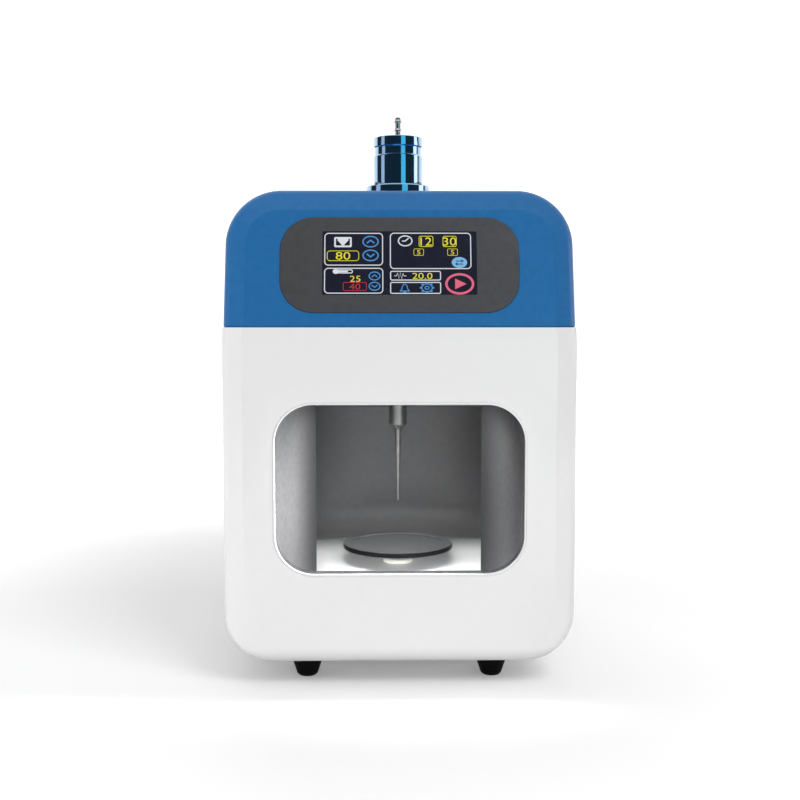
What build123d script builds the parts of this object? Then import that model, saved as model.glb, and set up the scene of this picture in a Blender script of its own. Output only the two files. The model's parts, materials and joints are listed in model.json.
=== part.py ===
from build123d import *
import os
from math import cos, pi, radians, sin

os.makedirs("parts", exist_ok=True)

# All sizes are in millimetres. X points to the viewer's right, Y to the back and Z up.
# The origin lies on the table under the middle of the instrument.

# Housing form
DEPTH = 260.0  # front face to the outside of the fan guard
GUARD_PROUD = 3.0  # the fan guard stands off the rear panel
HALF_WIDTH = 110.5  # white body, middle to side
HEAD_INSET = 0.8  # the blue head is this much narrower on each side
FOOT_HEIGHT = 15.0
CREASE_Z = 214.7  # the front bends back above this height
SEAM_Z = 226.6  # joint of the white body and the blue head
TOP_Z = 313.0
LEAN = 15.0  # degrees that the head's face leans back
LOW_RADIUS = 31.0  # bottom corners seen from the front
HIGH_RADIUS = 35.0  # top corners seen from the front
BEVEL_WIDE = 13.7  # bevel round the front field, across the front
BEVEL_DEEP = 5.5  # and into the depth
FIELD_BOTTOM_Z = 53.4
FIELD_RADIUS = 18.0
EDGE_ROUND = 8.0  # rounding between the bevel and the sides
WALL = 3.0
SEAM_GROOVE = 0.6  # shadow gap along the seam

# Window and sample chamber
WINDOW_HALF = 78.7
WINDOW_LOW_Z = 72.2
WINDOW_HIGH_Z = 180.5
WINDOW_RADIUS = 25.0
TRIM_WIDTH = 1.4  # face width of the window trim
TRIM_PROUD = 0.5
TRIM_REACH = 9.0  # how far the trim's sleeve runs into the chamber
FLOOR_Z = 58.5
CEILING_Z = 190.0
CHAMBER_BACK_Y = 76.0
CHAMBER_HALF = 84.0  # middle to the inner face of a chamber side
COVE_RADIUS = 26.0  # bend between chamber back and floor
LIP_Z = 161.0  # lower edge of the bent lip on the chamber back
LIP_DEPTH = 3.0
SHEET = 1.5  # chamber and chassis sheet metal
CHEEK_SHEET = 2.0
CHEEK_REAR_HALF = 55.5  # half opening between the rear edges of the cheeks
CHEEK_DEPTH = 60.0  # face to the rear edges of the cheeks

# Sample stage
STAGE_RADIUS = 39.0
STAGE_THICK = 3.0
STAGE_UNDER_Z = 68.5  # underside of the stage at rest
STAGE_RIM_WIDE = 1.2
STAGE_TRAVEL = 25.0
POST_RADIUS = 4.0
POST_FIT = 0.05  # running fit of the post in its bush, on the radius
BUSH_RADIUS = 7.0
BUSH_FLANGE_RADIUS = 11.0
BUSH_FLANGE = 2.0
BUSH_LENGTH = 8.0
HUB_RADIUS = 8.0
HUB_TALL = 3.0
CLIP_RADIUS = 5.6
CLIP_THICK = 1.2
CLIP_RISE = 1.0  # post end below the clip
CLIP_STOP_GAP = 0.3  # left between clip and bush at the top of the travel
POST_LENGTH = (
    STAGE_UNDER_Z - FLOOR_Z + BUSH_LENGTH + STAGE_TRAVEL + CLIP_STOP_GAP + CLIP_THICK + CLIP_RISE
)

# Transducer, horn and probe
AXIS_Y = -25.0  # the transducer's axis, behind the face
CAN_RADIUS = 17.1
CAN_WALL = 1.6
CAN_TOP_Z = 356.3
CAN_BASE_Z = 258.0
GROOVE_LOW_Z = 343.3
GROOVE_HIGH_Z = 350.0
GROOVE_DEEP = 0.8
COLLAR_RADIUS = 22.2
COLLAR_TOP_Z = 323.2
COLLAR_LIP = 4.2  # height of the collar's narrow upper ring
COLLAR_STEP = 1.6
COLLAR_SCREWS = 4
HORN_TOP_RADIUS = 14.0
HORN_NECK_RADIUS = 6.3
HORN_WAIST_Z = 215.0  # the wide top of the horn starts to narrow here
HORN_NECK_Z = 196.0  # and is a plain cylinder below this
TIP_JOINT_Z = 156.6
TIP_CONE = 3.0
TIP_RADIUS = 2.3
TIP_END_RADIUS = 1.1
TIP_END_Z = 102.1
FITTING_TOP_Z = 370.3
FITTING_RADIUS = 2.1
BARB_RADIUS = 2.8
FITTING_BORE = 1.0
PIEZO_RADIUS = 12.5
PIEZO_THICK = 5.0
PIEZO_COUNT = 4
ELECTRODE_THICK = 0.3
STACK_BOLT_RADIUS = 4.0
FRONT_MASS_LENGTH = 36.0
BACK_MASS_LENGTH = 26.0
NODE_FLANGE = 4.0  # thickness of the front mass's flange, on which the can stands
STUD_RADIUS = 4.0

# Display
BEZEL_HALF = 74.2
BEZEL_TALL = 61.4
BEZEL_RADIUS = 21.0
BEZEL_MIDDLE = 52.3  # up the leaning face from the crease
BEZEL_THICK = 2.4
BEZEL_PROUD = 0.8
SCREEN_HALF = 47.8
SCREEN_TALL = 40.7
SCREEN_MIDDLE = 53.3
SCREEN_THICK = 5.0
BOARD_THICK = 1.6

# Feet, chassis and electronics
FOOT_X = 60.0
FOOT_FRONT_Y = -98.0
FOOT_REAR_Y = 98.0
FOOT_TOP_RADIUS = 11.4
FOOT_BASE_RADIUS = 6.8
FOOT_RECESS_RADIUS = 4.4
FOOT_RECESS = 7.0
BASE_GAP = 3.5  # base plate to the start of the rounded bottom corners
BASE_HALF = HALF_WIDTH - LOW_RADIUS - BASE_GAP
BASE_END = 14.0  # base plate beyond the feet
SCREW_RADIUS = 2.0
CHASSIS_GAP = 6.0  # chamber back to the chassis plate
STANDOFF = 8.0
SUPPLY_SIZE = (48.0, 110.0, 27.0)

# Rear fittings
PANEL_THICK = 2.0
PANEL_SINK = 1.0  # the rear panel lies this deep in the shells
PANEL_GAP = 0.3
FAN_X = -38.0
FAN_Z = 150.0
FAN_HALF = 30.0
FAN_THICK = 20.0
FAN_BORE_RADIUS = 28.5
FAN_HUB_RADIUS = 13.0
FAN_SWEEP_RADIUS = 27.2
FAN_BLADES = 7
INLET_X = 45.0
INLET_Z = 60.0
INLET_HALF_X = 14.5
INLET_HALF_Z = 11.5
DRAWER_TALL = 8.0
DRAWER_TRAVEL = 16.0
ROCKER_X = 45.0
ROCKER_Z = 103.0
ROCKER_HALF_X = 6.5
ROCKER_HALF_Z = 10.0
ROCKER_TILT = 8.0
SOCKET_X = 88.0
SOCKET_Z = 135.0
SOCKET_RADIUS = 8.0
SOCKET_BORE_RADIUS = 4.0

FRONT_Y = -DEPTH / 2
REAR_Y = DEPTH / 2 - GUARD_PROUD
SHELL_REAR_Y = REAR_Y + PANEL_SINK
FIELD_HALF = HALF_WIDTH - BEVEL_WIDE
BODY_BOTTOM_Z = FOOT_HEIGHT
PLATE_TOP_Z = BODY_BOTTOM_Z + WALL + SHEET
HEAD_HALF = HALF_WIDTH - HEAD_INSET

upright = Plane(origin=(0, FRONT_Y, CREASE_Z), x_dir=(1, 0, 0), z_dir=(0, -1, 0))
leaning = Plane(
    origin=(0, FRONT_Y, CREASE_Z),
    x_dir=(1, 0, 0),
    z_dir=(0, -cos(radians(LEAN)), sin(radians(LEAN))),
)
# The white body is mitred where its front bends, half way between both faces
mitre = Plane(
    origin=(0, FRONT_Y, CREASE_Z),
    x_dir=(1, 0, 0),
    z_dir=(0, sin(radians(LEAN / 2)), cos(radians(LEAN / 2))),
)
seam = Plane.XY.offset(SEAM_Z)


def across(y):
    """Plane that faces the front at depth y, with its own y axis up."""
    return Plane.XZ.offset(-y)


def front_outline(half, low, high, low_radius, high_radius):
    """Rounded outline of the housing seen from the front, on the active sketch plane."""
    with BuildSketch(mode=Mode.PRIVATE) as outline:
        with Locations((0, (low + high) / 2)):
            Rectangle(2 * half, high - low)
        if low_radius:
            fillet(outline.vertices().group_by(Axis.Y)[0], low_radius)
        if high_radius:
            fillet(outline.vertices().group_by(Axis.Y)[-1], high_radius)
    return outline.sketch


def rim_edges(form, face, depth):
    """Edges of the form that run round it at the given depth behind the face plane."""
    def near(edge):
        depths = [-face.to_local_coords(edge @ place).Z for place in (0, 0.5, 1)]
        return min(depths) > 0.6 * depth and max(depths) < 1.6 * depth
    return form.edges().filter_by(near)


def below_bend(edge):
    """True for an edge of the body under the plane of the bend."""
    return mitre.to_local_coords(edge @ 0.5).Z < 0


def above_bend(edge):
    """True for an edge of the body over the plane of the bend."""
    return not below_bend(edge)


def lower_form(inset):
    """White body below the bend: flat field, wide bevel, straight sides."""
    high = SEAM_Z + 40
    brim_y = FRONT_Y + inset + BEVEL_DEEP
    with BuildPart() as form:
        with BuildSketch(across(FRONT_Y + inset)):
            add(front_outline(FIELD_HALF - inset, FIELD_BOTTOM_Z + inset, high, FIELD_RADIUS, 0))
        with BuildSketch(across(brim_y)):
            add(front_outline(HALF_WIDTH - inset, BODY_BOTTOM_Z + inset, high, LOW_RADIUS - inset, 0))
        loft(ruled=True)
        with BuildSketch(across(brim_y)):
            add(front_outline(HALF_WIDTH - inset, BODY_BOTTOM_Z + inset, high, LOW_RADIUS - inset, 0))
        extrude(amount=-(SHELL_REAR_Y - brim_y))
        split(bisect_by=mitre, keep=Keep.BOTTOM)
    return form.part


def leaning_form(half, low, high, high_radius, inset, edge_round):
    """Part of the housing whose front leans back, with the same bevel round its edge."""
    face = leaning.offset(-inset)
    with BuildPart() as form:
        with BuildSketch(across(SHELL_REAR_Y)):
            add(front_outline(half - inset, low, high, 0, high_radius))
        extrude(amount=SHELL_REAR_Y - FRONT_Y + 20)
        split(bisect_by=face, keep=Keep.BOTTOM)
        front = form.faces().sort_by(Axis(face.origin, face.z_dir))[-1]
        chamfer(front.edges(), length=BEVEL_WIDE, length2=BEVEL_DEEP, reference=front)
        if edge_round:
            fillet(rim_edges(form, face, BEVEL_DEEP), edge_round)
    return form.part


def body_form(inset, edge_round):
    """The whole white body, up past the seam."""
    upper = leaning_form(HALF_WIDTH, CREASE_Z - 60, SEAM_Z + 40, 0, inset, 0)
    with BuildPart() as form:
        add(upper)
        split(bisect_by=mitre, keep=Keep.TOP)
        add(lower_form(inset))
        if edge_round:
            low_rim = rim_edges(form, upright, BEVEL_DEEP).filter_by(below_bend)
            high_rim = rim_edges(form, leaning, BEVEL_DEEP).filter_by(above_bend)
            fillet(low_rim + high_rim, edge_round)
    return form.part


def head_form(inset, edge_round):
    """The whole blue head, down past the seam."""
    return leaning_form(HEAD_HALF, SEAM_Z - 40, TOP_Z - inset, HIGH_RADIUS - inset, inset, edge_round)


def window_outline(grow):
    """Window opening, made larger all round by grow, on a plane that faces the front."""
    with BuildSketch(mode=Mode.PRIVATE) as opening:
        with Locations((0, (WINDOW_LOW_Z + WINDOW_HIGH_Z) / 2)):
            RectangleRounded(
                2 * (WINDOW_HALF + grow),
                WINDOW_HIGH_Z - WINDOW_LOW_Z + 2 * grow,
                WINDOW_RADIUS + grow,
            )
    return opening.sketch


def turned(profile, x=0.0, y=AXIS_Y):
    """Solid of revolution about the upright line through (x, y), from (radius, height) points."""
    with BuildPart() as piece:
        with BuildSketch(across(y)):
            with BuildLine():
                Polyline(*[(x + radius, height) for radius, height in profile], close=True)
            make_face()
        revolve(axis=Axis((x, y, 0), (0, 0, 1)))
    return piece


def pattern(places, solid):
    """One part made of the same solid at each place."""
    with BuildPart() as group:
        for place in places:
            add(Pos(*place) * solid)
    return group


# Body shell: walls, ledge and tongue under the head, window, bosses for the rear panel
LEDGE_TALL = 4.0
TONGUE_GAP = 0.3
TONGUE_THICK = 1.8
BOSS_RADIUS = 6.5
BOSS_LENGTH = 14.0
BOSS_X = HALF_WIDTH - WALL - 6.0
REAR_SCREW_RADIUS = 1.5
panel_in_y = REAR_Y - PANEL_THICK
tongue_inset = WALL + HEAD_INSET + TONGUE_GAP
rear_screw_places = [(x, z) for x in (-BOSS_X, BOSS_X) for z in (FIELD_BOTTOM_Z, SEAM_Z - 30)]
foot_places = [(x, y) for x in (-FOOT_X, FOOT_X) for y in (FOOT_FRONT_Y, FOOT_REAR_Y)]

with BuildPart() as tongue:
    add(body_form(tongue_inset, 0))
    add(body_form(tongue_inset + TONGUE_THICK, 0), mode=Mode.SUBTRACT)
    split(bisect_by=seam.offset(LEDGE_TALL), keep=Keep.BOTTOM)
    split(bisect_by=seam.offset(-LEDGE_TALL), keep=Keep.TOP)
    split(bisect_by=across(panel_in_y - PANEL_GAP), keep=Keep.TOP)

with BuildPart() as ledge:
    add(body_form(WALL / 2, 0))
    add(body_form(tongue_inset + TONGUE_THICK / 2, 0), mode=Mode.SUBTRACT)
    split(bisect_by=seam, keep=Keep.BOTTOM)
    split(bisect_by=seam.offset(-LEDGE_TALL), keep=Keep.TOP)
    split(bisect_by=across(panel_in_y - PANEL_GAP), keep=Keep.TOP)

with BuildPart() as body_shell:
    add(body_form(0, EDGE_ROUND))
    add(body_form(WALL, 0), mode=Mode.SUBTRACT)
    split(bisect_by=seam, keep=Keep.BOTTOM)
    add(tongue.part)
    add(ledge.part)
    with BuildSketch(across(panel_in_y)):
        with Locations(*rear_screw_places):
            Circle(BOSS_RADIUS)
    extrude(amount=BOSS_LENGTH)
    with BuildSketch(across(SHELL_REAR_Y + 1)):
        add(front_outline(HALF_WIDTH + 20, BODY_BOTTOM_Z - 20, SEAM_Z + 20, 0, 0))
        add(front_outline(HALF_WIDTH, BODY_BOTTOM_Z, SEAM_Z + 20, LOW_RADIUS, 0), mode=Mode.SUBTRACT)
    extrude(amount=BOSS_LENGTH + PANEL_THICK + 4, mode=Mode.SUBTRACT)
    with BuildSketch(across(panel_in_y)):
        with Locations(*rear_screw_places):
            Circle(REAR_SCREW_RADIUS + 0.05)
    extrude(amount=BOSS_LENGTH, mode=Mode.SUBTRACT)
    with BuildSketch(across(FRONT_Y - 1)):
        add(window_outline(0))
    extrude(amount=-(WALL + BEVEL_DEEP + 1), mode=Mode.SUBTRACT)
    with BuildSketch(Plane.XY.offset(BODY_BOTTOM_Z - 1)):
        with Locations(*foot_places):
            Circle(SCREW_RADIUS + 0.1)
    extrude(amount=WALL + 2, mode=Mode.SUBTRACT)
body_shell.part.label = "body_shell"
export_step(body_shell.part, "parts/body_shell.step")

# Head cover: recess for the bezel, opening for the screen, hole for the transducer
BEZEL_GAP = 0.15
SCREEN_GAP = 0.3
CAN_GAP = 0.5
COLLAR_SCREW_RADIUS = 1.25
COLLAR_SCREW_HEAD = 2.1
COLLAR_SCREW_RING = COLLAR_RADIUS - COLLAR_SCREW_HEAD - 0.2
SCREEN_BOSS_RADIUS = 3.2
board_half = SCREEN_HALF + 9.0
board_tall = SCREEN_TALL + 12.0
screen_front = BEZEL_PROUD - 0.2
screen_back = screen_front - SCREEN_THICK
screen_boss_places = [
    (x, SCREEN_MIDDLE + v)
    for x in (-board_half + 4, board_half - 4)
    for v in (-board_tall / 2 + 4, board_tall / 2 - 4)
]
collar_screw_places = [
    (COLLAR_SCREW_RING * cos(pi / 4 + k * 2 * pi / COLLAR_SCREWS),
     AXIS_Y + COLLAR_SCREW_RING * sin(pi / 4 + k * 2 * pi / COLLAR_SCREWS))
    for k in range(COLLAR_SCREWS)
]

with BuildPart() as head_groove:
    add(head_form(-1, 0))
    add(head_form(1, 0), mode=Mode.SUBTRACT)
    split(bisect_by=seam.offset(SEAM_GROOVE), keep=Keep.BOTTOM)

with BuildPart() as head_cover:
    add(head_form(0, EDGE_ROUND))
    add(head_form(WALL, 0), mode=Mode.SUBTRACT)
    split(bisect_by=seam, keep=Keep.TOP)
    add(head_groove.part, mode=Mode.SUBTRACT)
    with BuildSketch(leaning.offset(-WALL + 0.5)):
        with Locations(*screen_boss_places):
            Circle(SCREEN_BOSS_RADIUS)
    extrude(amount=screen_back + WALL - 0.5)
    with BuildSketch(leaning):
        with Locations((0, BEZEL_MIDDLE)):
            RectangleRounded(2 * (BEZEL_HALF + BEZEL_GAP), BEZEL_TALL + 2 * BEZEL_GAP, BEZEL_RADIUS)
    extrude(amount=-(BEZEL_THICK - BEZEL_PROUD), mode=Mode.SUBTRACT)
    with BuildSketch(leaning):
        with Locations((0, SCREEN_MIDDLE)):
            Rectangle(2 * (SCREEN_HALF + SCREEN_GAP), SCREEN_TALL + 2 * SCREEN_GAP)
    extrude(amount=-(WALL + 3), mode=Mode.SUBTRACT)
    with BuildSketch(leaning.offset(screen_back)):
        with Locations(*screen_boss_places):
            Circle(1.05)
    extrude(amount=-screen_back - BEZEL_THICK, mode=Mode.SUBTRACT)
    with BuildSketch(Plane.XY.offset(TOP_Z - WALL - 1)):
        with Locations((0, AXIS_Y)):
            Circle(CAN_RADIUS + CAN_GAP)
        with Locations(*collar_screw_places):
            Circle(COLLAR_SCREW_RADIUS + 0.1)
    extrude(amount=WALL + 2, mode=Mode.SUBTRACT)
head_cover.part.label = "head_cover"
export_step(head_cover.part, "parts/head_cover.step")

# Display bezel, touch screen and board, on the leaning face
with BuildPart() as display_bezel:
    with BuildSketch(leaning.offset(BEZEL_PROUD)):
        with Locations((0, BEZEL_MIDDLE)):
            RectangleRounded(2 * BEZEL_HALF, BEZEL_TALL, BEZEL_RADIUS)
        with Locations((0, SCREEN_MIDDLE)):
            RectangleRounded(2 * SCREEN_HALF + 0.2, SCREEN_TALL + 0.2, 1.0, mode=Mode.SUBTRACT)
    extrude(amount=-BEZEL_THICK)
    bezel_front = display_bezel.faces().sort_by(Axis(leaning.origin, leaning.z_dir))[-1]
    fillet(bezel_front.outer_wire().edges(), 0.5)
display_bezel.part.label = "display_bezel"
export_step(display_bezel.part, "parts/display_bezel.step")

with BuildPart() as touch_screen:
    with BuildSketch(leaning.offset(screen_front)):
        with Locations((0, SCREEN_MIDDLE)):
            RectangleRounded(2 * SCREEN_HALF, SCREEN_TALL, 0.9)
    extrude(amount=-SCREEN_THICK)
touch_screen.part.label = "touch_screen"
export_step(touch_screen.part, "parts/touch_screen.step")

with BuildPart() as display_board:
    with BuildSketch(leaning.offset(screen_back)):
        with Locations((0, SCREEN_MIDDLE)):
            RectangleRounded(2 * board_half, board_tall, 2.0)
        with Locations(*screen_boss_places):
            Circle(1.3, mode=Mode.SUBTRACT)
    extrude(amount=-BOARD_THICK)
    with BuildSketch(leaning.offset(screen_back - BOARD_THICK)):
        with Locations((-24, SCREEN_MIDDLE), (20, SCREEN_MIDDLE - 10)):
            Rectangle(16, 12)
        with Locations((20, SCREEN_MIDDLE + 11)):
            Rectangle(30, 6)
    extrude(amount=-3.0)
display_board.part.label = "display_board"
export_step(display_board.part, "parts/display_board.step")

with BuildPart() as display_screws:
    with BuildSketch(leaning.offset(screen_back - BOARD_THICK)):
        with Locations(*screen_boss_places):
            Circle(2.2)
    extrude(amount=-1.6)
    with BuildSketch(leaning.offset(screen_back - BOARD_THICK)):
        with Locations(*screen_boss_places):
            Circle(1.0)
    extrude(amount=BOARD_THICK + 1.2)
display_screws.part.label = "display_screws"
export_step(display_screws.part, "parts/display_screws.step")

# Window trim: a sleeve in the window with a softened lip
with BuildPart() as window_trim:
    with BuildSketch(across(FRONT_Y - TRIM_PROUD)):
        add(window_outline(-0.1))
        add(window_outline(-TRIM_WIDTH), mode=Mode.SUBTRACT)
    extrude(amount=-(TRIM_PROUD + TRIM_REACH))
    fillet(window_trim.faces().sort_by(Axis.Y)[0].edges(), 0.45)
window_trim.part.label = "window_trim"
export_step(window_trim.part, "parts/window_trim.step")

# Base plate, feet and their screws
BASE_CORNER = 6.0
with BuildPart() as base_plate:
    with BuildSketch(Plane.XY.offset(BODY_BOTTOM_Z + WALL)):
        with Locations((0, (FOOT_FRONT_Y + FOOT_REAR_Y) / 2)):
            RectangleRounded(2 * BASE_HALF, FOOT_REAR_Y - FOOT_FRONT_Y + 2 * BASE_END, BASE_CORNER)
        with Locations(*foot_places):
            Circle(SCREW_RADIUS + 0.1, mode=Mode.SUBTRACT)
    extrude(amount=SHEET)
base_plate.part.label = "base_plate"
export_step(base_plate.part, "parts/base_plate.step")

foot_profile = [
    (SCREW_RADIUS + 0.2, FOOT_RECESS),
    (FOOT_RECESS_RADIUS, FOOT_RECESS),
    (FOOT_RECESS_RADIUS, 0),
    (FOOT_BASE_RADIUS - 1.2, 0),
    (FOOT_BASE_RADIUS, 1.2),
    (FOOT_TOP_RADIUS, FOOT_HEIGHT),
    (SCREW_RADIUS + 0.2, FOOT_HEIGHT),
]
foot_names = ["foot_front_left", "foot_rear_left", "foot_front_right", "foot_rear_right"]
for foot_name, (foot_x, foot_y) in zip(foot_names, foot_places):
    foot = turned(foot_profile, foot_x, foot_y)
    foot.part.label = foot_name
    export_step(foot.part, f"parts/{foot_name}.step")

foot_screw = turned(
    [
        (0, FOOT_RECESS - 2.4),
        (3.6, FOOT_RECESS - 2.4),
        (3.6, FOOT_RECESS),
        (SCREW_RADIUS, FOOT_RECESS),
        (SCREW_RADIUS, PLATE_TOP_Z),
        (3.5, PLATE_TOP_Z),
        (3.5, PLATE_TOP_Z + 3.0),
        (SCREW_RADIUS, PLATE_TOP_Z + 3.0),
        (SCREW_RADIUS, PLATE_TOP_Z + 4.5),
        (0, PLATE_TOP_Z + 4.5),
    ],
    0,
    0,
)
foot_screws = pattern([(x, y, 0) for x, y in foot_places], foot_screw.part)
foot_screws.part.label = "foot_screws"
export_step(foot_screws.part, "parts/foot_screws.step")

# Chamber sheet metal
CHASSIS_Y = CHAMBER_BACK_Y + CHASSIS_GAP
FLOOR_LEG_HALF = 70.0
chamber_front_y = FRONT_Y + WALL + BEVEL_DEEP + 0.3

with BuildPart() as chamber_floor:
    with BuildSketch(across(chamber_front_y)):
        with BuildLine():
            Polyline((-CHAMBER_HALF - SHEET, FLOOR_Z), (CHAMBER_HALF + SHEET, FLOOR_Z),
                     (CHAMBER_HALF + SHEET, FLOOR_Z - SHEET), (FLOOR_LEG_HALF, FLOOR_Z - SHEET),
                     (FLOOR_LEG_HALF, PLATE_TOP_Z), (FLOOR_LEG_HALF - SHEET, PLATE_TOP_Z),
                     (FLOOR_LEG_HALF - SHEET, FLOOR_Z - SHEET), (-FLOOR_LEG_HALF + SHEET, FLOOR_Z - SHEET),
                     (-FLOOR_LEG_HALF + SHEET, PLATE_TOP_Z), (-FLOOR_LEG_HALF, PLATE_TOP_Z),
                     (-FLOOR_LEG_HALF, FLOOR_Z - SHEET), (-CHAMBER_HALF - SHEET, FLOOR_Z - SHEET),
                     close=True)
        make_face()
    extrude(amount=-(CHASSIS_Y - chamber_front_y))
    with BuildSketch(Plane.XY.offset(FLOOR_Z - SHEET - 1)):
        with Locations((0, AXIS_Y)):
            Circle(BUSH_RADIUS + 0.05)
    extrude(amount=SHEET + 2, mode=Mode.SUBTRACT)
chamber_floor.part.label = "chamber_floor"
export_step(chamber_floor.part, "parts/chamber_floor.step")

SEAL_NECK_RADIUS = HORN_NECK_RADIUS + 3.5
SEAL_RADIUS = HORN_NECK_RADIUS + 7.0
with BuildPart() as chamber_hood:
    with BuildSketch(across(chamber_front_y)):
        with BuildLine():
            Polyline((-CHAMBER_HALF, FLOOR_Z), (-CHAMBER_HALF, CEILING_Z),
                     (CHAMBER_HALF, CEILING_Z), (CHAMBER_HALF, FLOOR_Z))
            offset(amount=SHEET, side=Side.LEFT)
        make_face()
    extrude(amount=-(CHASSIS_Y - chamber_front_y))
    with BuildSketch(Plane.XY.offset(CEILING_Z - 1)):
        with Locations((0, AXIS_Y)):
            Circle(SEAL_NECK_RADIUS)
    extrude(amount=SHEET + 2, mode=Mode.SUBTRACT)
chamber_hood.part.label = "chamber_hood"
export_step(chamber_hood.part, "parts/chamber_hood.step")

with BuildPart() as chamber_back:
    with BuildSketch(Plane.YZ.offset(-CHAMBER_HALF + 0.1)):
        with BuildLine():
            cove = RadiusArc((CHAMBER_BACK_Y - COVE_RADIUS, FLOOR_Z),
                             (CHAMBER_BACK_Y, FLOOR_Z + COVE_RADIUS), -COVE_RADIUS)
            Polyline(cove @ 1, (CHAMBER_BACK_Y, LIP_Z), (CHAMBER_BACK_Y - LIP_DEPTH, LIP_Z + LIP_DEPTH),
                     (CHAMBER_BACK_Y - LIP_DEPTH, CEILING_Z))
            offset(amount=SHEET, side=Side.LEFT)
        make_face()
    extrude(amount=2 * CHAMBER_HALF - 0.2)
chamber_back.part.label = "chamber_back"
export_step(chamber_back.part, "parts/chamber_back.step")

# Cheeks: curved panels whose faces turn away from the window towards the chamber's depth
cheek_front_half = WINDOW_HALF - TRIM_WIDTH
cheek_front_y = FRONT_Y + TRIM_REACH + 0.3
cheek_run = FRONT_Y + CHEEK_DEPTH - cheek_front_y
cheek_in = cheek_front_half - CHEEK_REAR_HALF
cheek_radius = (cheek_in ** 2 + cheek_run ** 2) / (2 * cheek_in)
for cheek_name, side in (("cheek_left", -1), ("cheek_right", 1)):
    with BuildPart() as cheek:
        with BuildSketch(Plane.XY.offset(FLOOR_Z)):
            with BuildLine():
                RadiusArc((side * cheek_front_half, cheek_front_y),
                          (side * CHEEK_REAR_HALF, cheek_front_y + cheek_run),
                          -side * cheek_radius)
                offset(amount=CHEEK_SHEET, side=Side.RIGHT if side > 0 else Side.LEFT)
            make_face()
        extrude(amount=CEILING_Z - FLOOR_Z)
    cheek.part.label = cheek_name
    export_step(cheek.part, f"parts/{cheek_name}.step")

# Horn seal: grommet that the ceiling plate sits in
horn_seal = turned([
    (HORN_NECK_RADIUS + 0.1, CEILING_Z - 2.0),
    (SEAL_RADIUS, CEILING_Z - 2.0),
    (SEAL_RADIUS, CEILING_Z),
    (SEAL_NECK_RADIUS, CEILING_Z),
    (SEAL_NECK_RADIUS, CEILING_Z + SHEET),
    (SEAL_RADIUS, CEILING_Z + SHEET),
    (SEAL_RADIUS - 1.0, CEILING_Z + SHEET + 2.0),
    (HORN_NECK_RADIUS + 0.1, CEILING_Z + SHEET + 2.0),
])
horn_seal.part.label = "horn_seal"
export_step(horn_seal.part, "parts/horn_seal.step")

# Sample stage: disc with a hub, edge ring, post with a stop clip, flanged bush in the floor
STAGE_DISH = 0.6
STAGE_DISH_RADIUS = STAGE_RADIUS - 5.0
stage_top_z = STAGE_UNDER_Z + STAGE_THICK
post_low_z = STAGE_UNDER_Z - POST_LENGTH
clip_low_z = post_low_z + CLIP_RISE
disc_radius = STAGE_RADIUS - STAGE_RIM_WIDE
stage_disc = turned([
    (POST_RADIUS, STAGE_UNDER_Z - HUB_TALL),
    (HUB_RADIUS, STAGE_UNDER_Z - HUB_TALL),
    (HUB_RADIUS, STAGE_UNDER_Z),
    (disc_radius, STAGE_UNDER_Z),
    (disc_radius, stage_top_z),
    (STAGE_DISH_RADIUS, stage_top_z),
    (STAGE_DISH_RADIUS - STAGE_DISH, stage_top_z - STAGE_DISH),
    (0, stage_top_z - STAGE_DISH),
    (0, STAGE_UNDER_Z),
    (POST_RADIUS, STAGE_UNDER_Z),
])
stage_disc.part.label = "stage_disc"
export_step(stage_disc.part, "parts/stage_disc.step")

stage_rim = turned([
    (disc_radius, STAGE_UNDER_Z),
    (STAGE_RADIUS - 0.5, STAGE_UNDER_Z),
    (STAGE_RADIUS, STAGE_UNDER_Z + 0.5),
    (STAGE_RADIUS, stage_top_z - 0.5),
    (STAGE_RADIUS - 0.5, stage_top_z),
    (disc_radius, stage_top_z),
])
stage_rim.part.label = "stage_rim"
export_step(stage_rim.part, "parts/stage_rim.step")

stage_post = turned([
    (0, post_low_z),
    (POST_RADIUS - 0.6, post_low_z),
    (POST_RADIUS, post_low_z + 0.6),
    (POST_RADIUS, clip_low_z),
    (POST_RADIUS - 0.6, clip_low_z),
    (POST_RADIUS - 0.6, clip_low_z + CLIP_THICK),
    (POST_RADIUS, clip_low_z + CLIP_THICK),
    (POST_RADIUS, STAGE_UNDER_Z),
    (0, STAGE_UNDER_Z),
])
stage_post.part.label = "stage_post"
export_step(stage_post.part, "parts/stage_post.step")

with BuildPart() as post_clip:
    with BuildSketch(Plane.XY.offset(clip_low_z)):
        with Locations((0, AXIS_Y)):
            Circle(CLIP_RADIUS)
            Circle(POST_RADIUS - 0.6, mode=Mode.SUBTRACT)
        with Locations((0, AXIS_Y - CLIP_RADIUS)):
            Rectangle(3.0, CLIP_RADIUS, mode=Mode.SUBTRACT)
    extrude(amount=CLIP_THICK)
post_clip.part.label = "post_clip"
export_step(post_clip.part, "parts/post_clip.step")

stage_bush = turned([
    (POST_RADIUS + POST_FIT, FLOOR_Z - BUSH_LENGTH),
    (BUSH_RADIUS, FLOOR_Z - BUSH_LENGTH),
    (BUSH_RADIUS, FLOOR_Z),
    (BUSH_FLANGE_RADIUS, FLOOR_Z),
    (BUSH_FLANGE_RADIUS, FLOOR_Z + BUSH_FLANGE - 0.8),
    (BUSH_FLANGE_RADIUS - 0.8, FLOOR_Z + BUSH_FLANGE),
    (POST_RADIUS + POST_FIT, FLOOR_Z + BUSH_FLANGE),
])
stage_bush.part.label = "stage_bush"
export_step(stage_bush.part, "parts/stage_bush.step")

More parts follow.
